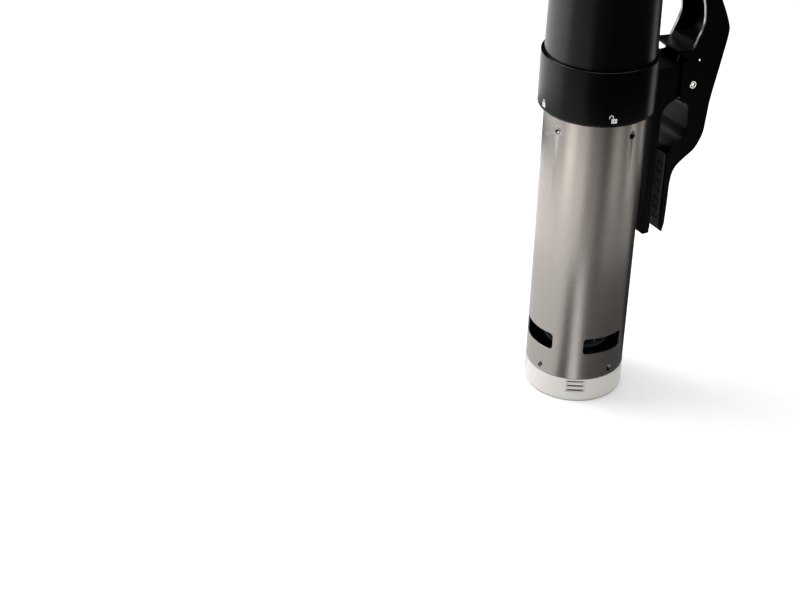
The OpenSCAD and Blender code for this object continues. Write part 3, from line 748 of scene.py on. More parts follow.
def prism(mesh: bmesh.types.BMesh, outline: Sequence[Pair], low: float, high: float, place: Place) -> None:
    """Adds a prism to a mesh.

    Args:
        mesh: The mesh that gets it.
        outline: The prism's outline.
        low: Where it starts along its axis.
        high: Where it ends along its axis.
        place: Turns a point of the outline and a level into a point in space.
    """
    ends = [[mesh.verts.new(place(a, b, level)) for a, b in outline] for level in (low, high)]
    count = len(outline)
    mesh.faces.new(ends[0])
    mesh.faces.new(list(reversed(ends[1])))
    for i in range(count):
        n = (i + 1) % count
        mesh.faces.new((ends[0][n], ends[0][i], ends[1][i], ends[1][n]))


def sheathe(mesh: bmesh.types.BMesh, over: Sequence[Sequence[bmesh.types.BMVert]],
            under: Sequence[Sequence[bmesh.types.BMVert]]) -> None:
    """Closes two sheets of vertices into a plate.

    Args:
        mesh: The mesh that holds them.
        over: The outer sheet, as rows.
        under: The inner sheet, with the same rows.
    """
    last_row, last_column = len(over) - 1, len(over[0]) - 1
    for k in range(last_row):
        for i in range(last_column):
            mesh.faces.new((over[k][i], over[k][i + 1], over[k + 1][i + 1], over[k + 1][i]))
            mesh.faces.new((under[k][i + 1], under[k][i], under[k + 1][i], under[k + 1][i + 1]))
        for i in (0, last_column):
            mesh.faces.new((over[k][i], over[k + 1][i], under[k + 1][i], under[k][i]))
    for k in (0, last_row):
        for i in range(last_column):
            mesh.faces.new((over[k][i], under[k][i], under[k][i + 1], over[k][i + 1]))


def skin(mesh: bmesh.types.BMesh, rings: Sequence[Sequence[bmesh.types.BMVert]]) -> None:
    """Closes a row of rings into a solid.

    Args:
        mesh: The mesh that holds them.
        rings: The rings, from one end to the other.
    """
    count = len(rings[0])
    for low, high in zip(rings, rings[1:]):
        for i in range(count):
            n = (i + 1) % count
            mesh.faces.new((low[i], low[n], high[n], high[i]))
    mesh.faces.new(list(reversed(rings[0])))
    mesh.faces.new(rings[-1])


def cut_out(piece: bpy.types.Object, cutter: bmesh.types.BMesh, fuse: bool = False) -> bpy.types.Object:
    """Cuts one mesh out of a piece.

    Args:
        piece: The piece.
        cutter: What is cut away, which is freed.
        fuse: Adds it to the piece instead.

    Returns:
        The same piece.
    """
    tool = as_object("cutter", cutter)
    modifier = piece.modifiers.new("cut", "BOOLEAN")
    modifier.operation = "UNION" if fuse else "DIFFERENCE"
    modifier.object = tool
    modifier.solver = "EXACT"
    apply_modifiers(piece)
    bpy.data.objects.remove(tool)
    return piece


def round_box(centre: Pair, width: float, height: float, radius: float, steps: int = 5) -> List[Pair]:
    """Draws a round-cornered rectangle.

    Args:
        centre: Its centre.
        width: Its width.
        height: Its height.
        radius: The radius of its corners.
        steps: Segments in each corner.

    Returns:
        Its outline.
    """
    outline: List[Pair] = []
    for turn, (x, y) in enumerate(((1, 1), (-1, 1), (-1, -1), (1, -1))):
        corner = (centre[0] + x * (width / 2 - radius), centre[1] + y * (height / 2 - radius))
        outline += arc(corner, radius, 90 * turn, 90 * turn + 90, steps)
    return outline


def shell(name: str, radius: Callable[[float], float], wall: float, rows: Sequence[float],
          holes: Sequence[Sequence[Pair]], start: float, rim: float = 0.12,
          columns: int = ROUND) -> bpy.types.Object:
    """Wraps a pierced plate round the Z axis, so that its holes keep clean rims.

    Args:
        name: The piece's name.
        radius: Gives the outer radius at a height, in millimetres.
        wall: The wall's thickness in millimetres.
        rows: The heights of its rows in millimetres.
        holes: The holes' outlines, as distance round the foot from the seam and height.
        start: The seam's angle in degrees.
        rim: The rounding of the rims in millimetres.
        columns: Steps round the axis.

    Returns:
        The new piece.
    """
    foot = radius(rows[0])
    girth = 2 * math.pi * foot
    mesh = bmesh.new()
    steps = [girth * i / columns for i in range(columns + 1)]
    sheathe(mesh, *([[mesh.verts.new((x, depth, z)) for x in steps] for z in rows] for depth in (0.0, -wall)))
    piece = as_object(name, mesh)
    if holes:
        cutter = bmesh.new()
        for outline in holes:
            prism(cutter, outline, -wall - 1, 1, lambda along, z, depth: (along, depth, z))
        cut_out(piece, cutter)
    mesh = bmesh.new()
    mesh.from_mesh(piece.data)
    seam = [f for f in mesh.faces
            if all(v.co.x < 1e-4 for v in f.verts) or all(v.co.x > girth - 1e-4 for v in f.verts)]
    bmesh.ops.delete(mesh, geom=seam, context="FACES_ONLY")
    for vertex in mesh.verts:
        along, depth, z = vertex.co
        angle = math.radians(start) + along / foot
        reach = radius(z) + depth
        vertex.co = Vector((reach * math.cos(angle), reach * math.sin(angle), z)) * MM
    bmesh.ops.remove_doubles(mesh, verts=mesh.verts, dist=2e-7)
    bpy.data.objects.remove(piece)
    return bevelled(as_object(name, mesh), rim * MM, 2, 40.0, False)


def slab(name: str, outline: Sequence[Pair], half: float, rim: float, steps: int = 4) -> bpy.types.Object:
    """Makes a plate across X from an outline in Y and Z, with rounded rims.

    Args:
        name: The piece's name.
        outline: The outline in millimetres, counterclockwise seen from +X.
        half: Half the plate's thickness.
        rim: The radius of its rims.
        steps: Segments across each rim.

    Returns:
        The new piece.
    """
    count = len(outline)
    points = [Vector(p) for p in outline]
    inward: List[Vector] = []
    for i in range(count):
        before = (points[i] - points[i - 1]).normalized()
        after = (points[(i + 1) % count] - points[i]).normalized()
        mean = (before + after).normalized()
        inward.append(Vector((-mean.y, mean.x)) / max(0.5, mean.dot(after)))
    levels: List[Pair] = []
    for s in range(steps + 1):
        turn = math.pi / 2 * s / steps
        levels.append((half - rim * (1 - math.sin(turn)), rim * (1 - math.cos(turn))))
    layers = [(-x, d) for x, d in reversed(levels)] + levels
    mesh = bmesh.new()
    rings = [[mesh.verts.new((x * MM, (p.x + n.x * d) * MM, (p.y + n.y * d) * MM))
              for p, n in zip(points, inward)] for x, d in layers]
    skin(mesh, rings)
    return as_object(name, mesh)


def rod(name: str, path: Sequence[Vector], section: Sequence[Pair], side: Vector,
        taper: int = 0) -> bpy.types.Object:
    """Sweeps a section along a path.

    Args:
        name: The piece's name.
        path: The path's points in millimetres.
        section: The section's points as (sideways, upwards) in millimetres.
        side: A direction that the section's sideways keeps near.
        taper: The number of end rings that close in, for rounded ends.

    Returns:
        The new piece.
    """
    mesh = bmesh.new()
    last = len(path) - 1
    rings: List[List[bmesh.types.BMVert]] = []
    for i, point in enumerate(path):
        along = (path[min(i + 1, last)] - path[max(i - 1, 0)]).normalized()
        up = side.cross(along).normalized()
        across = along.cross(up).normalized()
        side = across
        end = min(i, last - i)
        size = math.sqrt(max(0.0, 1 - (1 - (end + 0.25) / taper) ** 2)) if end < taper else 1.0
        rings.append([mesh.verts.new((point + size * (a * across + b * up)) * MM) for a, b in section])
    skin(mesh, rings)
    return as_object(name, mesh)


Grid = List[List[Pair]]


def bar(left: float, low: float, right: float, high: float, steps: int = 6) -> Grid:
    """Returns a flat bar as rows of points."""
    return [[(left + (right - left) * i / steps, y) for i in range(steps + 1)] for y in (low, high)]


def band(centre: Pair, inner: float, outer: float, start: float, end: float, steps: int = 14) -> Grid:
    """Returns a flat curved band as rows of points, between two angles in degrees."""
    return [arc(centre, radius, start, end, steps) for radius in (outer, inner)]


def decal(name: str, grids: Sequence[Grid], place: Place, low: float = -0.03,
          high: float = 0.03) -> bpy.types.Object:
    """Makes a thin raised mark from flat grids laid on a surface.

    Args:
        name: The piece's name.
        grids: The mark's parts.
        place: Turns (across, up, out) in millimetres into a point in space.
        low: The mark's underside.
        high: The mark's face.

    Returns:
        The new piece.
    """
    mesh = bmesh.new()
    for grid in grids:
        under, over = ([[mesh.verts.new(place(a, b, level)) for a, b in row] for row in grid]
                       for level in (low, high))
        sheathe(mesh, over, under)
    return as_object(name, mesh)


# ---------------------------------------------------------------- sub-assemblies


@dataclass
class Assembly:
    """A sub-assembly, which hangs its pieces on the CAD bodies."""

    made: List[str] = field(default_factory=list, init=False)

    def add(self, piece: bpy.types.Object, look: Look, *nodes: str, on: str = "") -> bpy.types.Object:
        """Gives a piece its finish and its body.

        Args:
            piece: The piece.
            look: Its finish.
            nodes: The CAD nodes that it stands for.
            on: The CAD node that carries it, if it stands for none.

        Returns:
            The same piece.
        """
        body = frame["nodes"][on or nodes[0]]["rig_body"]
        piece.data.materials.clear()
        piece.data.materials.append(look.material())
        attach(piece, body)
        if nodes:
            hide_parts(*nodes)
        self.made.append(piece.name)
        LOG.info("%s: %s rides on %s", type(self).__name__, piece.name, body)
        return piece

    def soften(self, node: str, look: Look, width: float = 0.2, steps: int = 2) -> None:
        """Adds a cleaned copy of a CAD node in its place, its edges rounded by a width in millimetres."""
        self.add(softened(f"{node}_dressed", node, width * MM, steps), look, node)


@dataclass
class Sleeve(Assembly):
    """The steel sleeve with its flow slots and index dimples, and the ring that locks it."""

    radius: float = 29.8
    wall: float = 0.8
    low: float = 15.6
    high: float = 190.5
    slot_low: float = 33.4
    slot_high: float = 44.3
    slot_arc: float = 53.0
    slot_corner: float = 2.2
    dimple_turn: float = 10.5
    dimple_heights: Pair = (19.7, 176.9)
    dimple_radius: float = 2.7
    dimple_depth: float = 1.5
    seam: float = 45.0
    columns: int = 400

    def build(self) -> None:
        """Builds the sleeve and its lock."""
        around = [math.radians(90 * k + self.seam) * self.radius for k in range(4)]
        middle = (self.slot_low + self.slot_high) / 2
        size = (math.radians(self.slot_arc) * self.radius, self.slot_high - self.slot_low)
        holes = [round_box((x, middle), *size, self.slot_corner) for x in around]
        dimple_rows = [z + self.dimple_radius * i / 6 for z in self.dimple_heights for i in range(-6, 7)]
        rows = sorted([self.low, self.slot_low - 1, self.slot_high + 1, 80, 130, self.high, *dimple_rows])
        tube = shell("sleeve_tube", lambda z: self.radius, self.wall, rows, holes, self.seam,
                     columns=self.columns)
        self.dent(tube)
        self.add(tube, Look.BRUSHED_SLEEVE, "steel_sleeve")
        self.soften("locking_ring", Look.DARK_PLASTIC, 0.25)
        self.soften("ring_clip", Look.SPRING_STEEL, 0.15)

    def dent(self, tube: bpy.types.Object) -> None:
        """Presses the dimples into the tube's wall.

        Args:
            tube: The tube.
        """
        for vertex in tube.data.vertices:
            x, y, z = vertex.co / MM
            turn = (math.degrees(math.atan2(y, x)) - self.dimple_turn + 45) % 90 - 45
            for height in self.dimple_heights:
                off = math.hypot(math.radians(turn) * self.radius, z - height) / self.dimple_radius
                if off < 1:
                    push = self.dimple_depth * 0.5 * (1 + math.cos(math.pi * off)) / math.hypot(x, y)
                    vertex.co.x -= vertex.co.x * push
                    vertex.co.y -= vertex.co.y * push


@dataclass
class BaseCap(Assembly):
    """The pale cap with its inlet windows and drain holes."""

    radius: float = 30.0
    height: float = 15.3
    floor: float = 2.5
    spigot: float = 28.7
    spigot_top: float = 24.0
    inner: float = 26.6
    window_turn: float = -31.5
    window_width: float = 12.0
    window_low: float = 6.0
    window_high: float = 14.3
    window_depth: float = 1.2
    louvre: float = 1.0
    louvre_shares: Tuple[float, ...] = (0.12, 0.5, 0.88)
    drain: float = 1.5
    drain_rings: Tuple[Tuple[float, int], ...] = ((9, 6), (18, 12))

    def build(self) -> None:
        """Builds the cap."""
        corners = [
            (0, 0, 0), (self.radius, 0, 1.2), (self.radius, 5.2, 0), (self.radius, 14.9, 0),
            (self.radius, self.height, 0.35), (self.spigot, self.height, 0),
            (self.spigot, self.spigot_top, 1.0), (self.inner, self.spigot_top, 0.3),
            (self.inner, self.floor, 1.0), (0, self.floor, 0)]
        cap = turned("base_cap_moulding", corners)
        # the cap's finish paints its inside near black as painted shade
        self.add(cut_out(cut_out(cap, self.windows()), self.openings()), Look.LINED_PLASTIC, "base_cap")

    def outward(self, side: int) -> Place:
        """Returns what places a cutter's points out of the window with the given number."""
        turn = Matrix.Rotation(math.radians(self.window_turn + 90 * side), 3, "Z")
        return lambda a, b, c: turn @ Vector((c, a, b)) * MM

    def windows(self) -> bmesh.types.BMesh:
        """Shapes the recesses of the windows.

        Returns:
            Their cutter.
        """
        mesh = bmesh.new()
        middle = (self.window_low + self.window_high) / 2
        recess = round_box((0, middle), self.window_width, self.window_high - self.window_low, 0.4, 3)
        for side in range(4):
            prism(mesh, recess, self.radius - self.window_depth, self.radius + 2, self.outward(side))
        return mesh

    def openings(self) -> bmesh.types.BMesh:
        """Shapes the louvres and drain holes that are cut through.

        Returns:
            Their cutter.
        """
        mesh = bmesh.new()
        rise = self.window_high - self.window_low
        for side in range(4):
            for share in self.louvre_shares:
                middle = (0, self.window_low + rise * share)
                line = round_box(middle, self.window_width - 2, self.louvre, 0.4, 3)
                prism(mesh, line, self.inner - 1, self.radius + 1, self.outward(side))
        for reach, count in self.drain_rings:
            for spot in circle((0, 0), reach, count):
                prism(mesh, circle(spot, self.drain, 24), -1, self.floor + 0.5, along_z)
        return mesh


@dataclass
class Collar(Assembly):
    """The satin collar with its two padlock marks."""

    radius: float = 33.85
    low: float = 185.5
    high: float = 218.7
    body: float = 32.0
    lip: float = 30.15
    mark_height: float = 190.8
    closed_at: float = -96.7
    open_at: float = -18.0

    def build(self) -> None:
        """Builds the collar and its marks."""
        corners = [
            (self.lip, self.low, 0.2), (self.radius, self.low, 2.2), (self.radius, self.high, 0.7),
            (self.body, self.high, 0.25), (self.body, self.low + 2.5, 0), (self.lip, self.low + 2.5, 0)]
        self.add(turned("collar_ring", corners, 7), Look.SATIN_BLACK, "collar")
        self.padlock("padlock_closed", self.closed_at, 0.0, 1.15)
        self.padlock("padlock_open", self.open_at, -1.75, 1.55)

    def padlock(self, name: str, angle: float, shift: float, lift: float) -> None:
        """Prints one padlock mark.

        Args:
            name: The mark's name.
            angle: Its place round the collar in degrees.
            shift: How far the shackle stands to the side, which is nothing when it is closed.
            lift: How high the shackle's bow stands over the body.
        """
        inner, outer, top = 0.75, 1.25, lift - 0.1
        feet = (top - 0.9, lift - 0.9) if shift else (0.35, 0.35)
        body = [bar(-1.6, -2.3, -0.4, 0.4), bar(0.4, -2.3, 1.6, 0.4), bar(-0.4, -0.45, 0.4, 0.4),
                bar(-0.4, -2.3, 0.4, -1.25)]
        bow = band((shift, top), inner, outer, 0, 180)
        legs = [bar(shift + inner, feet[0], shift + outer, top, 2),
                bar(shift - outer, feet[1], shift - inner, top, 2)]

        def on_collar(a: float, b: float, c: float) -> Vector:
            """Places a point of the mark on the collar."""
            reach, turn = self.radius + c, math.radians(angle) + a / self.radius
            return Vector((reach * math.cos(turn), reach * math.sin(turn), self.mark_height + b)) * MM

        self.add(decal(name, [*body, bow, *legs], on_collar), Look.INK, on="collar")


@dataclass
class Body(Assembly):
    """The tapering body with its cooling vents."""

    low: float = 197.4
    step: float = 218.7
    high: float = 306.0
    radius: float = 32.0
    taper: float = 1.0
    wall: float = 2.4
    vent_width: float = 2.4
    vent_height: float = 20.0
    vent_middle: float = 276.9
    vent_count: int = 7
    vent_step: float = 13.0
    seam: float = -90.0

    def at(self, z: float) -> float:
        """Returns the outer radius at a height."""
        return self.radius - max(0.0, z - self.step) * math.tan(math.radians(self.taper))

    def build(self) -> None:
        """Builds the body."""
        back = 90 - self.seam
        spots = [math.radians(back + self.vent_step * (i - (self.vent_count - 1) / 2)) * self.radius
                 for i in range(self.vent_count)]
        wide = self.vent_width * self.radius / self.at(self.vent_middle)
        corner = 0.5 * wide - 0.02
        holes = [round_box((x, self.vent_middle), wide, self.vent_height, corner, 6) for x in spots]
        ends = (self.vent_middle - self.vent_height / 2 - 1, self.vent_middle + self.vent_height / 2 + 1)
        rows = [self.low, self.step, *ends, self.high]
        tube = shell("body_housing", self.at, self.wall, rows, holes, self.seam, 0.2)
        self.add(tube, Look.MATTE_BLACK, "upper_housing")


@dataclass
class Head(Assembly):
    """The flared head with its slanted face: bezel, fascia, window, digits and keys."""

    low: float = 306.0
    flare: float = 16.0
    neck: float = 30.476
    radius: float = 35.0
    wall: float = 2.4
    tilt: float = 35.0
    bezel_width: float = 2.1
    bezel_levels: Pair = (-1.6, 0.8)
    fascia_levels: Pair = (-4.0, -1.6)
    window: Pair = (36.0, 20.0)
    window_up: float = 11.0
    lens_level: float = -1.3
    panel_depth: float = 2.8
    key_radius: float = 5.5
    key_top: float = -0.2
    key_flange: float = 6.6
    gap: float = 0.3
    keys: Tuple[Tuple[str, float, float], ...] = (("minus", -15, -10), ("power", 0, -19), ("plus", 15, -10))
    key_ink: Pair = (-0.05, 0.06)
    posts: Tuple[Pair, ...] = ((-17, -25), (17, -25), (0, -6))
    post_radius: float = 2.2
    post_bore: float = 1.1
    post_height: float = 5.9
    digit_size: Pair = (5.6, 10.5)
    digit_stroke: float = 1.15
    gland_z: float = 336.993
    gland_seat: float = 35.5
    gland_end: float = 38.5
    gland_flange: float = 6.7
    gland_stem: float = 5.35
    gland_bore: float = 3.8
    face: float = 350.493
    ledge: float = 1.1

    @property
    def slope(self) -> float:
        """The tangent of the face's tilt."""
        return math.tan(math.radians(self.tilt))

    def level(self, radius: float, angle: float, out: float) -> float:
        """Returns the face's height at a radius and an angle round the axis, and so far out of the face."""
        return self.face + radius * math.sin(angle) * self.slope + out / math.cos(math.radians(self.tilt))

    def on_face(self, a: float, b: float, c: float) -> Vector:
        """Returns a point given across, up and out of the face."""
        cos, sin = math.cos(math.radians(self.tilt)), math.sin(math.radians(self.tilt))
        return Vector((a, b * cos - c * sin, b * sin + c * cos + self.face)) * MM

    def build(self) -> None:
        """Builds the head and all that its face carries."""
        self.housing()
        self.bezel()
        self.fascia()
        self.display()
        for name, across, up in self.keys:
            self.key(name, across, up)
        self.gland()
        self.soften("control_board", Look.BOARD, 0.1)
        self.soften("board_screws", Look.SCREW_STEEL, 0.12)
        self.soften("tact_switches", Look.DARK_PLASTIC, 0.2)

    def flared(self, inset: float) -> List[Pair]:
        """Draws the flare.

        Args:
            inset: How far it is moved in.

        Returns:
            Its points.
        """
        points: List[Pair] = []
        for i in range(17):
            t = i / 16
            ease = t * t * (3 - 2 * t)
            points.append((self.neck + (self.radius - self.neck) * ease - inset, self.low + self.flare * t))
        return points

    def housing(self) -> None:
        """Builds the head's shell."""
        inner = self.radius - self.wall

        def section(angle: float) -> List[Pair]:
            """Draws the shell's section at an angle.

            Args:
                angle: The angle round the axis.

            Returns:
                The section's (radius, height) points.
            """
            low = self.fascia_levels[0]
            lip = inner - self.ledge
            foot = self.low + self.flare + 0.1
            top = [(reach, max(foot, self.level(reach, angle, out)), rounding) for reach, out, rounding in (
                (self.radius, -2.5, 0), (self.radius, 0, 0.9), (inner, 0, 0.4), (inner, low, 0),
                (lip, low, 0), (lip, low - 2, 0), (inner, low - 2, 0))]
            loop = self.flared(0) + rounded(top, 5) + list(reversed(self.flared(self.wall)))
            return [(r * MM, z * MM) for r, z in loop]

        head = lathe("head_shell", section)
        boss, hole = bmesh.new(), bmesh.new()
        centre = (0, self.gland_z)
        prism(boss, circle(centre, self.gland_flange + 0.5, 60), inner + 0.5, self.gland_seat, along_y)
        prism(hole, circle(centre, self.gland_stem, 60), inner - 6, 60, along_y)
        self.add(cut_out(cut_out(head, boss, True), hole), Look.MATTE_BLACK, "head_housing")

    def bezel(self) -> None:
        """Builds the ring round the face."""
        outer = self.radius - self.wall
        inner = outer - self.bezel_width
        low, high = self.bezel_levels

        def section(angle: float) -> List[Pair]:
            """Draws the ring's section at an angle.

            Args:
                angle: The angle round the axis.

            Returns:
                The section's (radius, height) points.
            """
            corners = [(reach, self.level(reach, angle, out), rounding) for reach, out, rounding in (
                (outer, low, 0), (outer, high, 0.45), (inner, high, 0.6), (inner, low, 0))]
            return [(r * MM, z * MM) for r, z in rounded(corners, 4)]

        self.add(lathe("bezel_trim", section), Look.SATIN_TRIM, "bezel_ring")

    def plate(self, name: str, outline: Sequence[Pair], low: float, high: float) -> bpy.types.Object:
        """Makes a plate that lies in the face.

        Args:
            name: The plate's name.
            outline: Its outline, across and up.
            low: Its lower level.
            high: Its upper level.

        Returns:
            The plate.
        """
        mesh = bmesh.new()
        prism(mesh, outline, low, high, self.on_face)
        return as_object(name, mesh)

    def fascia(self) -> None:
        """Builds the fascia with its window, key holes and board posts."""
        outer = self.radius - self.wall
        low, high = self.fascia_levels
        oval = [(x, y / math.cos(math.radians(self.tilt))) for x, y in circle((0, 0), outer, 160)]
        plate = self.plate("fascia_plate", oval, low, high)
        for centre in self.posts:
            post = bmesh.new()
            prism(post, circle(centre, self.post_radius, 36), low - self.post_height, low + 0.1, self.on_face)
            cut_out(plate, post, True)
        holes = bmesh.new()
        prism(holes, round_box((0, self.window_up), *self.window, 1.2), low - 1, high + 1, self.on_face)
        for _, *centre in self.keys:
            prism(holes, circle(centre, self.key_radius + self.gap, 60), low - 1, high + 1, self.on_face)
        for centre in self.posts:
            prism(holes, circle(centre, self.post_bore, 24), low - 6.5, low - 0.9, self.on_face)
        cut_out(plate, holes)
        self.add(bevelled(plate, 0.2 * MM, 2, 40.0, False), Look.GLOSS_BLACK, "fascia")

    def display(self) -> None:
        """Builds the window, the module behind it and its lit digits."""
        low = self.fascia_levels[0]
        wide, tall = self.window
        edge = round_box((0, self.window_up), wide - 0.1, tall - 0.1, 1.2)
        lens = self.plate("display_window", edge, low, self.lens_level)
        self.add(bevelled(lens, 0.25 * MM, 3), Look.LENS, "display_lens")
        edge = round_box((0, self.window_up), wide + 2, tall + 2, 0.5)
        panel = self.plate("display_module", edge, low - self.panel_depth, low)
        self.add(bevelled(panel, 0.2 * MM), Look.DISPLAY, "display_panel")
        grids: List[Grid] = []
        for digit, across in ((Digit.SIX, -9.5), (Digit.ZERO, -1.0), (Digit.ZERO, 8.5)):
            grids += digit.segments((across, self.window_up), *self.digit_size, self.digit_stroke)
        grids.append(bar(3.0, self.window_up - 5.25, 4.2, self.window_up - 4.05, 2))
        grids.append(band((13.6, self.window_up + 4.2), 0.55, 1.05, 0, 360, 20))

        def on_lens(a: float, b: float, c: float) -> Vector:
            """Places a point of the digits on the window."""
            return self.on_face(a, b, self.lens_level + c)

        self.add(decal("display_digits", grids, on_lens, -0.02, 0.02), Look.DIGIT, on="display_lens")

    def key(self, name: str, across: float, up: float) -> None:
        """Builds one push button and its mark.

        Args:
            name: The key's name.
            across: Its place across the face.
            up: Its place up the face.
        """
        low = self.fascia_levels[0]
        foot = low - self.gap - 1.2
        corners = [
            (0, foot - 1.1, 0), (1.5, foot - 1.1, 0.2), (1.5, foot, 0), (self.key_flange, foot, 0.15),
            (self.key_flange, low - self.gap, 0.15), (self.key_radius, low - self.gap, 0),
            (self.key_radius, self.key_top - 0.1, 0.7), (2.5, self.key_top, 4.0), (0, self.key_top - 0.12, 0)]
        cap = turned(f"{name}_cap", corners, 6, 72)
        tilt = Matrix.Rotation(math.radians(self.tilt), 4, "X")
        cap.data.transform(Matrix.Translation(self.on_face(across, up, 0)) @ tilt)
        self.add(cap, Look.BUTTON_PLASTIC, f"{name}_button")
        marks: Dict[str, List[Grid]] = {
            "minus": [bar(-1.9, -0.35, 1.9, 0.35)],
            "plus": [bar(-1.9, -0.35, 1.9, 0.35), bar(-0.35, 0.35, 0.35, 1.9, 2),
                     bar(-0.35, -1.9, 0.35, -0.35, 2)],
            "power": [band((0, -0.15), 1.45, 2.0, 125, 415, 28), bar(-0.28, 0.2, 0.28, 2.2, 2)]}

        def on_key(a: float, b: float, c: float) -> Vector:
            """Places a point of the mark on the key."""
            return self.on_face(across + a, up + b, self.key_top - 0.06 + c)

        self.add(decal(f"{name}_mark", marks[name], on_key, *self.key_ink), Look.KEY_INK, on=f"{name}_button")

    def gland(self) -> None:
        """Builds the rubber cord inlet."""
        inner = self.radius - self.wall - 2
        corners = [
            (self.gland_bore, inner, 0.4), (self.gland_stem, inner, 0.5),
            (self.gland_stem, self.gland_seat, 0), (self.gland_flange, self.gland_seat, 0.3),
            (self.gland_flange, self.gland_end - 1, 0.5), (self.gland_flange - 0.7, self.gland_end, 0.6),
            (self.gland_bore, self.gland_end, 0.6)]
        ring = turned("cord_gland_ring", corners, 4, 72)
        lay = Matrix.Rotation(-math.pi / 2, 4, "X")
        ring.data.transform(Matrix.Translation((0, 0, self.gland_z * MM)) @ lay)
        self.add(ring, Look.RUBBER, "cord_gland")


class Digit(Enum):
    """The digits shown, as the lit segments of seven."""

    SIX = "acdefg"
    ZERO = "abcdef"

    def segments(self, centre: Pair, width: float, height: float, thick: float) -> List[Grid]:
        """Draws the digit.

        Args:
            centre: The digit's centre.
            width: Its width.
            height: Its height.
            thick: The bars' thickness.

        Returns:
            Its lit bars.
        """
        x, y = centre
        left, right, top, low = x - width / 2, x + width / 2, y + height / 2, y - height / 2
        chink = 0.18
        half = thick / 2
        spans = {
            "a": (left + half, top - thick, right - half, top),
            "d": (left + half, low, right - half, low + thick),
            "g": (left + half, y - half, right - half, y + half),
            "b": (right - thick, y + chink + half, right, top - thick - chink),
            "c": (right - thick, low + thick + chink, right, y - chink - half),
            "e": (left, low + thick + chink, left + thick, y - chink - half),
            "f": (left, y + chink + half, left + thick, top - thick - chink)}
        return [bar(*spans[name], steps=2) for name in self.value]


